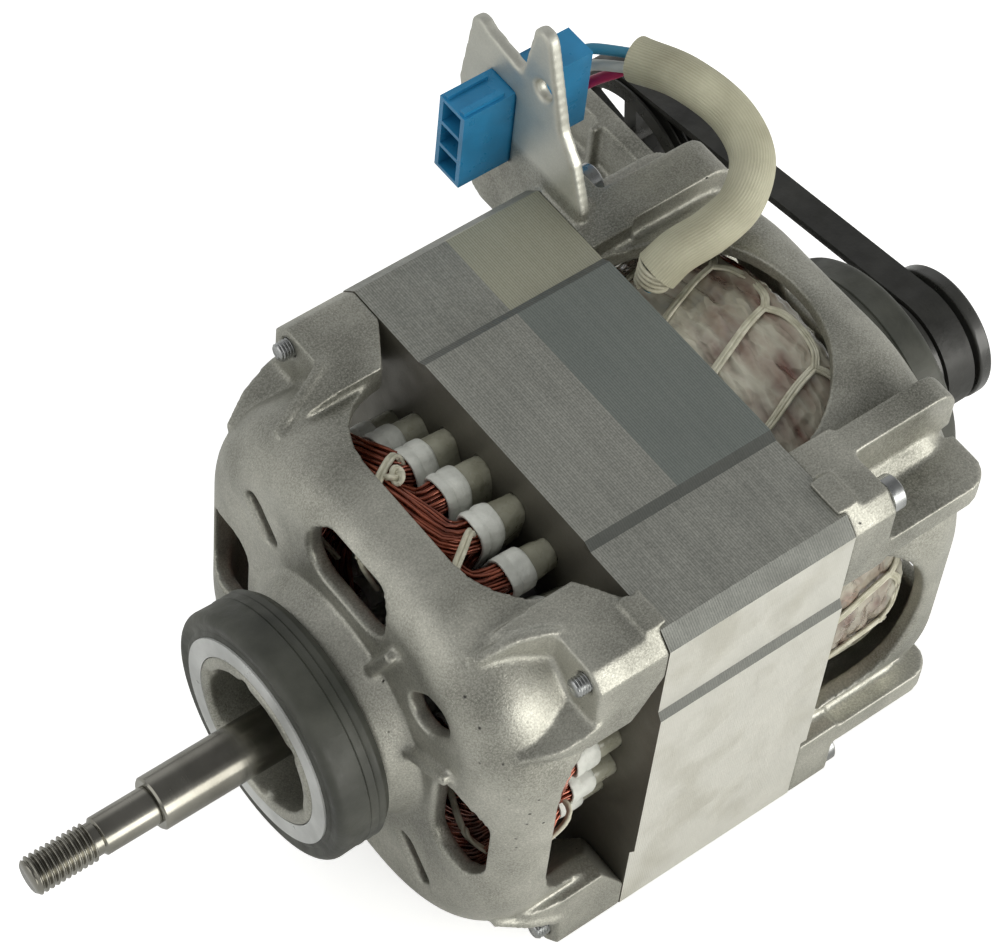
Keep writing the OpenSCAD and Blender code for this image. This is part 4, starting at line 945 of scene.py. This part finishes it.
@dataclass
class Windings(SubAssembly):
    """Coils, liners, cuffs, the film over the rear turns and both lacings, in millimetres."""

    strands: StrandTree
    main: CoilSet
    start: CoilSet
    front_wires: tuple[int, float] = (46, 1.0)
    rear_wires: tuple[int, float] = (18, 0.72)
    wire_r: float = 0.42
    bundle: float = 3.6
    wander: float = 1.7
    twist: float = 7.0
    film_r: tuple[float, float] = (31.85, 55.35)
    film_x: tuple[float, float] = (119.0, 149.25)
    film_fold: float = 5.0
    slots: int = 24
    meshes: int = 18
    slot_span: tuple[float, float] = (36.2, 53.0)
    liner_x: tuple[float, float] = (52.0, 123.0)
    core_x: tuple[float, float] = (60.0, 115.0)

    def coils(self) -> None:
        """Lays both windings wire by wire: all wires at the front, fewer under the rear film."""
        for name, coil in (("main_winding", self.main), ("start_winding", self.start)):
            for end in End:
                front = end is End.FRONT
                wires, share = self.front_wires if front else self.rear_wires
                piece = self.strands.lay(f"{name}_{end.value}", coil.turns(end), Palette.COPPER, wires,
                                         share * coil.half_width, share * self.bundle, self.wire_r,
                                         self.twist, self.wander * share)
                self.place(piece, "enamelled_copper", *([name] if front else []))
            straight = self.strands.lay(f"{name}_in_slots", coil.runs(), Palette.COPPER, wires=14,
                                        across=2.3, deep=3.2, wire_radius=0.5)
            self.place(straight, "enamelled_copper")

    def film(self) -> None:
        """Makes the crumpled film that is folded over the rear end turns."""
        rows, columns = 110, 300
        (r_in, r_out), (x0, x1), fold = self.film_r, self.film_x, self.film_fold
        outline = [(x0, r_out - 0.6), (x0 + 8, r_out), (x1 - fold, r_out)]
        outline += [(x1 - fold + fold * math.sin(t), r_out - fold + fold * math.cos(t))
                    for t in np.linspace(0.2, math.pi / 2, 5)]
        outline += [(x1 + 0.2, (r_in + r_out) / 2)]
        outline += [(x1 - fold + fold * math.cos(t), r_in + fold - fold * math.sin(t))
                    for t in np.linspace(0.0, math.pi / 2 - 0.2, 5)]
        outline += [(x1 - fold, r_in), (x0 + 12, r_in)]
        line = smooth_path(np.array([(x, r, 0.0) for x, r in outline]), 0.02)
        line = line[np.linspace(0, len(line) - 1, rows).astype(int)]
        a = even_turn(columns)
        s = np.linspace(0, 1, rows)[:, None]
        folds = np.abs(np.sin(25 * s + 1.5 * np.sin(a * 5 + 3 * s) + 0.9 * np.sin(a * 9 - 7 * s)))
        creases = np.abs(np.sin(41 * s + 6 * a + 1.6 * np.sin(a * 7 + 9 * s)))
        ripple = np.sin(a * 83 + 37 * s + 2.1 * np.sin(a * 13))
        lump = 1.0 * folds ** 0.6 + 0.8 * creases ** 0.7 + 0.15 * ripple - 1.4
        away = line[:, :2] - (x0 + 10.0, (r_in + r_out) / 2)
        away /= np.linalg.norm(away, axis=1)[:, None]
        x, r = (line[:, k:k + 1] + away[:, k:k + 1] * lump for k in (0, 1))
        rings = np.stack([x, r * np.cos(a), r * np.sin(a)], axis=2) * MM
        piece = grid_piece("winding_film_folded", rings, Palette.FILM, caps=False, crease_deg=80.0)
        self.place(piece, "end_film", "winding_film")

    def _lace(self, name: str, paths: list[list[Point]], cords: int, across: float, deep: float,
              cord_r: float, wander: float, *nodes: str) -> None:
        """Lays cord along paths.

        Args:
            name: The piece's name.
            paths: Points by place along the shaft, radius and angle.
            cords: Cords side by side.
            across: Half width of the cords together.
            deep: Half thickness of the cords together.
            cord_r: Radius of one cord.
            wander: How far a cord strays.
            nodes: CAD nodes that the piece stands for.
        """
        lines = [smooth_path(np.array([self._point(*p) for p in path]), 1.5 * MM) for path in paths]
        piece = self.strands.lay(name, lines, Palette.CORD, cords, across, deep, cord_r,
                                 wander=wander, sides=6)
        self.place(piece, "lacing_cord", *nodes)

    def _point(self, x: float, r: float, a: float) -> Point:
        """Point at a place along the shaft, a radius and an angle, in metres."""
        return (x * MM, r * math.cos(math.radians(a)) * MM, r * math.sin(math.radians(a)) * MM)

    def rear_lacing(self) -> None:
        """Laces the rear turns with a net of six-sided meshes."""
        r = self.film_r[1] + 0.85
        step = 360.0 / self.meshes
        paths = []
        for i in range(self.meshes):
            a = 8.0 + i * step
            knot, crown = (141.0, r, a), (145.2, r - 1.4, a + 0.52 * step)
            paths.append([(117.6, r - 1.6, a + 0.42 * step), (124.0, r - 0.2, a + 0.3 * step),
                          (134.0, r + 0.1, a + 0.1 * step), knot])
            paths.append([knot, (143.9, r - 0.5, a + 0.2 * step), crown,
                          (143.9, r - 0.5, a + 0.82 * step), (141.0, r, a + step)])
            paths.append([crown, (149.0, r - 4.6, a + 0.5 * step), (150.4, r - 9.5, a + 0.5 * step),
                          (150.6, r - 15.0, a + 0.5 * step), (148.0, r - 22.0, a + 0.5 * step)])
        self._lace("rear_lacing_net", paths, 5, 0.95, 0.25, 0.45, 0.3, "rear_lacing")

    def front_lacing(self) -> None:
        """Laces the front turns: a cord between every second pair of cuffs, and one knot."""
        r_in, r = self.film_r[0] - 1.0, self.film_r[1] + 0.6
        step = 360.0 / self.slots
        paths = []
        for i in range(0, self.slots, 2):
            a = 37.5 + i * step
            paths.append([(44.5, r_in + 6, a), (45.6, r - 5, a + 0.1 * step),
                          (43.6, r, a + 0.15 * step), (36.0, r + 0.8, a + 0.5 * step),
                          (29.0, r - 1.5, a + 0.85 * step), (25.2, r - 8, a + step),
                          (24.6, r - 14, a + step), (28.0, r_in, a + 1.1 * step)])
        self._lace("front_lacing_cord", paths, 4, 1.2, 0.3, 0.55, 0.35, "front_lacing")
        self._knot("front_lacing_knots", self._point(39.5, r + 0.6, 76.5), 2.4)

    def _knot(self, name: str, point: Point, size: float) -> None:
        """Ties a trefoil of cord.

        Args:
            name: The piece's name.
            point: The knot's place in metres.
            size: Its size in millimetres.
        """
        t = np.linspace(0, math.tau, 40)
        out = np.array(point) * (0, 1, 1)
        out /= np.linalg.norm(out)
        along = np.array((1.0, 0.0, 0.0))
        shape = np.stack([np.sin(t) + 2 * np.sin(2 * t), np.cos(t) - 2 * np.cos(2 * t),
                          -np.sin(3 * t)], axis=1) * size / 3 * MM
        path = (np.array(point) + shape[:, :1] * along + shape[:, 1:2] * np.cross(out, along)
                + shape[:, 2:] * out)
        piece = self.strands.lay(name, [path], Palette.CORD, wires=2, across=0.35, deep=0.35,
                                 wire_radius=0.6, twist=90.0, sides=6)
        self.place(piece, "lacing_cord")

    def _slot_tubes(self, name: str, stations: list[Point], finish: Palette) -> Piece:
        """Makes one crumpled tube in each slot.

        Args:
            name: The piece's name.
            stations: Place along the shaft, half width at the outer end and wall offset, in
                millimetres, for each ring of points.
            finish: The finish that it gets.

        Returns:
            All tubes as one object.
        """
        t = even_turn(32)
        out, over = np.cos(t), np.sin(t)
        inner_r, outer_r = self.slot_span
        middle, reach = (inner_r + outer_r) / 2, (outer_r - inner_r) / 2
        tubes = []
        for i in range(self.slots):
            turn = math.radians((i + 0.5) * 360.0 / self.slots)
            rings = []
            for x, half, off in stations:
                along = middle + (reach + off) * np.sign(out) * np.abs(out) ** 0.62
                wedge = 0.80 + 0.20 * (along - inner_r) / (outer_r - inner_r)
                dent = 0.22 * np.sin(3 * t + 2.1 * i + 0.7 * x) * np.sin(0.9 * x + i)
                width = (half + off + dent) * wedge * np.sign(over) * np.abs(over) ** 0.75
                rings.append(np.stack([np.full(len(t), x),
                                       along * math.cos(turn) - width * math.sin(turn),
                                       along * math.sin(turn) + width * math.cos(turn)], axis=1))
            tubes.append(grid_piece(f"{name}_{i}", np.array(rings) * MM, finish, caps=False,
                                    crease_deg=50.0))
        return joined(name, tubes)

    def sleeves(self) -> None:
        """Makes the slot liners and the white cuffs, which bulge outside the slots."""
        (a, b), (c, d) = self.liner_x, self.core_x
        free = [(a, 4.3), (a + 0.5, 4.6), (a + 2.5, 4.7), (a + 5.0, 4.5), (c - 1.2, 4.2),
                (c - 0.05, 4.1), (c + 0.1, 3.1), (d - 0.1, 3.1), (d + 0.05, 4.1), (b - 5.0, 4.5),
                (b - 2.5, 4.7), (b - 0.5, 4.6), (b, 4.3)]
        turned_in = [(x, half - 0.3, -0.45) for x, half in (free[1], free[0], free[-1], free[-2])]
        stations = turned_in[:2] + [(x, half, 0.0) for x, half in free] + turned_in[2:]
        liners = self._slot_tubes("slot_liners_bulged", stations, Palette.LINER)
        self.place(liners, "liner_film", "slot_liners")
        shape = [(5.0, 4.6, -0.1), (0.3, 4.9, -0.1), (0.0, 5.0, 0.2), (0.1, 5.1, 0.55),
                 (0.9, 5.15, 0.75), (2.3, 5.05, 0.75), (2.9, 4.8, 0.5), (3.6, 5.0, 0.72),
                 (4.8, 5.05, 0.75), (6.3, 4.9, 0.7), (6.9, 4.7, 0.5), (7.0, 4.4, 0.2)]
        for end, x, way in zip(End, CUFF_X, (1.0, -1.0)):
            cuffs = self._slot_tubes(f"{end.value}_cuffs_creased",
                                     [(x + way * at, half, off) for at, half, off in shape],
                                     Palette.CUFF)
            nodes = ["coil_cuffs"] if end is End.FRONT else []
            self.place(cuffs, "cuff_film", *nodes)

    def build(self) -> None:
        """Makes all pieces of the windings."""
        self.coils()
        self.film()
        self.rear_lacing()
        self.front_lacing()
        self.sleeves()


@dataclass
class ShaftLine(SubAssembly):
    """The shaft with its thread, the bearings and what sits on them, in millimetres."""

    tip_x: float = -71.5
    thread_x: float = -55.0
    thread_r: float = 4.95
    pitch: float = 1.5
    step_x: float = -37.8
    end_x: float = 208.96
    neck_r: float = 4.2
    small_r: float = 4.98
    large_r: float = 7.0
    journal_r: float = 7.49
    body_r: float = 9.0
    body_x: tuple[float, float] = (25.0, 156.0)

    def build(self) -> None:
        """Makes the shaft and dresses the bearings."""
        thread = threaded("shaft_thread", self.tip_x, self.thread_x, self.thread_r, self.pitch,
                          Palette.POLISHED)
        neck, step, back = self.thread_x, self.step_x, self.end_x
        large, journal = self.large_r, self.journal_r
        start_x, stop_x = self.body_x
        line = [(neck - 0.6, AXIS_R), (neck - 0.6, self.neck_r), (neck + 2.0, self.neck_r),
                (neck + 2.6, self.small_r), (step - 0.15, self.small_r), (step, 4.85), (step, 6.5),
                (step + 0.5, large), (9.9, large), (10.4, journal), (start_x, journal),
                (start_x, self.body_r), (stop_x, self.body_r), (stop_x, journal), (171.1, journal),
                (171.6, large), (back - 0.5, large), (back, 6.5), (back, AXIS_R)]
        body = lathe("shaft_body", line, Palette.POLISHED)
        self.place(joined("shaft_turned", [body, thread]), "polished_steel", "shaft",
                   body=Body.ROTOR)
        for end in End:
            self.dress(Palette.BEARING, *(f"{end.value}_{part}" for part in
                                          ("outer_race", "inner_race", "bearing_balls")))
            self.dress(Palette.RETAINER, f"{end.value}_bearing_retainer")
        self.dress(Palette.SPRING, "retaining_rings")
        self.dress(Palette.ZINC, "wave_washer")


@dataclass
class SupportRings(SubAssembly):
    """The rubber support rings with their moulded lines, and their bright inserts."""

    outer_r: float = 33.5
    inner_r: float = 27.75
    length: float = 15.0
    lip: float = 2.6
    lines_at: tuple[float, float] = (8.4, 10.9)
    line_width: float = 0.22
    line_rise: float = 0.2
    starts: tuple[float, float] = (-7.5, 185.0)

    def _rubber(self, name: str, start: float, way: float) -> Piece:
        """Turns one rubber ring, from its lipped face inwards.

        Args:
            name: The piece's name.
            start: Place of the lipped face, in millimetres.
            way: Direction along X from that face, 1 or -1.

        Returns:
            The ring.
        """
        r, low, lip, wide, rise = (self.outer_r, self.inner_r, self.lip, self.line_width,
                                   self.line_rise)
        line = [(0.0, low), (0.0, r - lip - 2.2), (0.35, r - lip - 1.6), (0.2, r - lip)]
        line += [(lip - lip * math.cos(t), r - lip + lip * math.sin(t))
                 for t in np.linspace(0.25, math.pi / 2, 6)]
        for at in self.lines_at:
            line += [(at - 2 * wide, r - rise), (at - wide / 2, r), (at + wide / 2, r),
                     (at + wide, r - rise), (at + 2 * wide, r - 2 * rise),
                     (at + 3 * wide, r - rise)]
        line += [(13.0, r), (13.25, r - 0.75), (self.length - 0.8, r - 0.9), (self.length, r - 1.6),
                 (self.length, low), (0.0, low)]
        return lathe(name, [(start + way * x, q) for x, q in line], Palette.RING_RUBBER, 128,
                     caps=False)

    def build(self) -> None:
        """Makes the rubber rings and dresses the inserts."""
        for end, start, way in zip(End, self.starts, (1.0, -1.0)):
            ring = self._rubber(f"{end.value}_ring_moulded", start, way)
            self.place(ring, "ring_rubber", f"{end.value}_ring_rubber")
        self.dress(Palette.RING_FACE, "front_ring_insert", "rear_ring_insert")


@dataclass
class ThroughBolts(SubAssembly):
    """Four long bolts with socket heads at the rear and thread ends at the front."""

    off: float = 56.4
    front_x: float = 36.8
    thread: float = 12.0
    thread_r: float = 2.48
    pitch: float = 0.8
    shank_r: float = 2.45
    head_x: float = 128.0
    head_r: float = 4.6

    def build(self) -> None:
        """Makes the bolts."""
        shank_x, x = self.front_x + self.thread, self.head_x
        outline = [(shank_x, AXIS_R), (shank_x, self.shank_r), (x, self.shank_r), (x, 4.2),
                   (x + 0.3, self.head_r), (x + 3.5, self.head_r), (x + 4.0, 4.1), (x + 4.0, 2.6),
                   (x + 1.6, 2.4), (x + 1.6, AXIS_R)]
        parts = []
        for at in product((-self.off, self.off), repeat=2):
            parts.append(threaded("bolt_thread", self.front_x, shank_x, self.thread_r, self.pitch,
                                  Palette.ZINC, at, 28))
            parts.append(lathe("bolt_head", outline, Palette.ZINC, 40, at))
        self.place(joined("through_bolts_turned", parts), "zinc", "through_bolts")


@dataclass
class BeltDrive(SubAssembly):
    """The motor pulley, the belt, the second wheel and its axle."""

    def build(self) -> None:
        """Dresses the pieces of the belt drive."""
        self.dress(Palette.BLACK, "motor_pulley", "drive_wheel")
        self.dress(Palette.BELT, "drive_belt")
        self.dress(Palette.BRONZE, "wheel_bush")
        self.dress(Palette.POLISHED, "wheel_axle")
        self.dress(Palette.ZINC, "axle_washer")
        self.dress(Palette.SPRING, "axle_clip")


@dataclass
class PlugAndLeads(SubAssembly):
    """The three-way connector, its leads and the woven sleeve over them, in millimetres."""

    plug_back: float = 140.0
    plug_y: float = 76.0
    ways: tuple[float, ...] = (79.5, 71.5, 63.5)
    lead_r: float = 1.4
    off: float = 2.0
    sleeve_r: float = 5.6
    bore_r: float = 4.7
    tie_turns: float = 4.5
    route: tuple = ((150, 66, 80), (154, 53, 83), (158, 40, 80), (156.5, 29, 75.5),
                    (148, 22, 71.8), (138, 20.5, 69.2), (128.8, 21.5, 66.6), (123.4, 22.2, 62))
    tail: tuple = ((121.8, 22, 58),)

    def _lead_path(self, way: float, angle: float) -> np.ndarray:
        """Points of one lead, from the connector to the windings.

        Args:
            way: Height of its way in the connector.
            angle: Its place in the bundle, in degrees.

        Returns:
            The points in metres.
        """
        middle = smooth_path(np.array([*self.route, *self.tail], float) * MM, 3.0 * MM)
        side, across = frames(middle)
        a = math.radians(angle)
        beside = middle + self.off * MM * (math.cos(a) * side + math.sin(a) * across)
        start = np.array([[self.plug_back, self.plug_y, way],
                          [self.plug_back + 4, self.plug_y - 1.5, (3 * way + 80) / 4]]) * MM
        return smooth_path(np.vstack([start, beside[1:]]), 1.2 * MM)

    def _rays(self, path: np.ndarray, sides: int) -> np.ndarray:
        """Unit vectors out of a path, by point and by place round it."""
        side, across = frames(path)
        a = even_turn(sides)[None, :, None]
        return np.cos(a) * side[:, None] + np.sin(a) * across[:, None]

    def _tube(self, name: str, path: np.ndarray, radius: float, sides: int, finish: Palette) -> Piece:
        """Makes a tube of one radius round a path in metres."""
        rings = path[:, None] + radius * MM * self._rays(path, sides)
        return grid_piece(name, rings, finish, crease_deg=60.0)

    def leads(self) -> None:
        """Makes the three leads as cords that go back into the motor."""
        for name, way, angle, finish in (("lead_blue", self.ways[0], 0, Palette.WIRE_BLUE),
                                         ("lead_white", self.ways[1], 120, Palette.WIRE_WHITE),
                                         ("lead_red", self.ways[2], 240, Palette.WIRE_RED)):
            path = self._lead_path(way, angle)
            piece = self._tube(f"{name}_cord", path, self.lead_r, 14, finish)
            self.place(piece, name, name)

    def sleeve(self) -> None:
        """Makes the woven sleeve: an outer skin with modelled ribs, and hollow mouths."""
        path = smooth_path(np.array(self.route, float) * MM, 1.0 * MM)
        sides = 4 * SLEEVE_RIBS
        rays = self._rays(path, sides)
        a = even_turn(sides)
        s = np.linspace(0, 1, len(path))[:, None]
        wave = (0.04 * np.cos(SLEEVE_RIBS * a)[None, :]
                + 0.10 * np.sin(3 * a + 7 * s) * np.sin(math.pi * s))
        flare = 1.0 + 0.05 * np.exp(-s * 25) + 0.03 * np.exp(-(1 - s) * 25)
        outer = path[:, None] + ((self.sleeve_r + wave) * MM * flare)[:, :, None] * rays
        inner = path[:, None] + self.bore_r * MM * rays
        deep = 8
        rings = np.concatenate([inner[deep:0:-1], outer, inner[-2:-deep:-1]])
        piece = grid_piece("lead_sleeve_woven", rings, Palette.SLEEVE, caps=False, crease_deg=80.0)
        self.place(piece, "sleeve_weave", "lead_sleeve")

    def tie(self) -> None:
        """Winds a cord round the leads where the sleeve ends, tighter towards the windings."""
        t = np.linspace(0.0, 1.0, 90)[:, None]
        start = np.array(self.route[-1]) + (0.6, 0.0, 2.2)
        end = np.array(self.tail[0]) + (0.0, 0.0, 0.5)
        a = self.tie_turns * math.tau * t
        line = start + t * (end - start)
        line = line + (4.6 - 0.9 * t) * (np.cos(a) * np.array((1.0, 0.0, -0.3))
                                         + np.sin(a) * np.array((0.0, 1.0, 0.0)))
        piece = self._tube("sleeve_tie", line * MM, 0.62, 8, Palette.CORD)
        self.place(piece, "lacing_cord")

    def build(self) -> None:
        """Makes the leads and sleeve and dresses the connector."""
        self.dress(Palette.PLUG_BLUE, "connector_housing")
        self.dress(Palette.TINNED, "terminals")
        self.leads()
        self.sleeve()
        self.tie()


@dataclass
class Studio:
    """Pale floor, soft lamps, a white background and the photograph's camera."""

    lens: float = 131.2
    position: tuple[float, float, float] = (-0.27482, -0.35594, 0.73965)
    rows: tuple = ((0.79192202, -0.60639406, 0.07173388), (-0.46350121, -0.6734362, -0.57589089),
                   (0.39752501, 0.42281193, -0.81437334))
    aim: Point = (0.07, 0.0, 0.0)
    floor_z: float = -0.0645
    floor_half: float = 4.0
    floor_tone: Colour = (0.93, 0.93, 0.93)
    floor_glow: float = 0.62

    def camera(self) -> None:
        """Places the camera at the photograph's viewpoint."""
        data = bpy.data.cameras.new("camera")
        data.lens, data.sensor_width = self.lens, 36.0
        data.clip_start, data.clip_end = 0.05, 20.0
        camera = linked("camera", data)
        right, down, ahead = (Vector(r) for r in self.rows)
        turn = Matrix((right, -down, -ahead)).transposed().to_4x4()
        camera.matrix_world = Matrix.Translation(self.position) @ turn
        bpy.context.scene.camera = camera

    def world(self) -> None:
        """Makes the even light all round, with a darker ceiling in reflections."""
        world = bpy.data.worlds.new("studio")
        bpy.context.scene.world = world
        world.use_nodes = True
        g = Graph(world.node_tree)
        world.node_tree.nodes.clear()
        rays = g.node("ShaderNodeLightPath").outputs
        up = g.axes(g.node("ShaderNodeTexCoord").outputs["Object"])[2]
        rise = g.times(g.span(up, -0.05, 0.25, 0.25, 0.62), g.span(up, 0.5, 0.8, 1.0, 0.35))
        plain = (1.0, 1.0, 1.0, 1.0)
        soft, mirror, white = (
            g.node("ShaderNodeBackground", {"Color": colour, "Strength": strength}).outputs[0]
            for colour, strength in (((0.97, 0.98, 0.95, 1.0), 0.40), (plain, rise), (plain, 1.0)))
        glossy = g.node("ShaderNodeMixShader", {0: rays["Is Glossy Ray"], 1: soft, 2: mirror})
        seen = g.math("MAXIMUM", rays["Is Camera Ray"], rays["Is Transmission Ray"])
        mix = g.node("ShaderNodeMixShader", {0: seen, 1: glossy.outputs[0], 2: white})
        g.node("ShaderNodeOutputWorld", {"Surface": mix.outputs[0]})

    def lamps(self) -> None:
        """Hangs the soft lamps."""
        for name, place, size, power, colour in (
                ("key", (0.50, -1.15, 0.30), (1.9, 0.7), 15.0, (1.0, 0.985, 0.93)),
                ("top", (-0.1, 0.55, 1.2), (1.2, 1.2), 5.0, (0.98, 0.985, 0.97)),
                ("front", (-1.25, 0.3, 0.3), (1.3, 0.9), 2.6, (1.0, 0.985, 0.94)),
                ("low", (-0.60, -0.85, -0.30), (1.2, 0.2), 3.0, (1.0, 0.99, 0.95))):
            data = bpy.data.lights.new(name, "AREA")
            data.shape, data.size, data.size_y = "RECTANGLE", *size
            data.energy, data.color = power, colour
            lamp = linked(name, data)
            lamp.location = place
            aim = Vector(self.aim) - Vector(place)
            lamp.rotation_euler = aim.to_track_quat("-Z", "Y").to_euler()
            lamp.visible_glossy = name != "top"

    def floor(self) -> None:
        """Lays the pale floor, which keeps the motor's soft shadow."""
        material = bpy.data.materials.new("floor_pale")
        material.use_nodes = True
        g = Graph(material.node_tree)
        shader = material.node_tree.nodes["Principled BSDF"]
        for socket, value in (("Base Color", (*self.floor_tone, 1.0)), ("Roughness", 0.9),
                              ("Specular IOR Level", 0.1)):
            g.put(shader, socket, value)
        rays = g.node("ShaderNodeLightPath").outputs
        glow = g.node("ShaderNodeEmission", {"Color": (1.0, 1.0, 1.0, 1.0),
                                             "Strength": self.floor_glow}).outputs[0]
        both = g.node("ShaderNodeAddShader", {0: shader.outputs[0], 1: glow}).outputs[0]
        mix = g.node("ShaderNodeMixShader", {0: rays["Is Camera Ray"], 1: shader.outputs[0], 2: both})
        g.put(material.node_tree.nodes["Material Output"], "Surface", mix.outputs[0])
        mesh = bpy.data.meshes.new("floor")
        s, z = self.floor_half, self.floor_z
        mesh.from_pydata([(-s, -s, z), (s, -s, z), (s, s, z), (-s, s, z)], [], [(0, 1, 2, 3)])
        mesh.materials.append(material)
        floor = linked("floor", mesh)

    def build(self) -> None:
        """Sets the stage."""
        bpy.context.scene.view_settings.view_transform = "Standard"
        self.camera()
        self.world()
        self.lamps()
        self.floor()


def main() -> None:
    """Builds the motor's looks in order."""
    logging.basicConfig(level=logging.INFO, format="%(message)s")
    Studio().build()
    strands = StrandTree()
    PlugAndLeads().build()
    Windings(strands,
             main=CoilSet(pole=45.0, coils=5, first=0.5, slot_r=49.0, r_odd=52.4, r_even=46.6, low=4.9,
                          half_width=4.4),
             start=CoilSet(pole=135.0, coils=4, first=1.5, slot_r=41.0, r_odd=34.8, r_even=40.5,
                           low=6.6, half_width=3.8)).build()
    CastBells().build()
    SheetCore().build()
    ShaftLine().build()
    SupportRings().build()
    ThroughBolts().build()
    BeltDrive().build()
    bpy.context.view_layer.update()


if __name__ == "__main__":
    main()
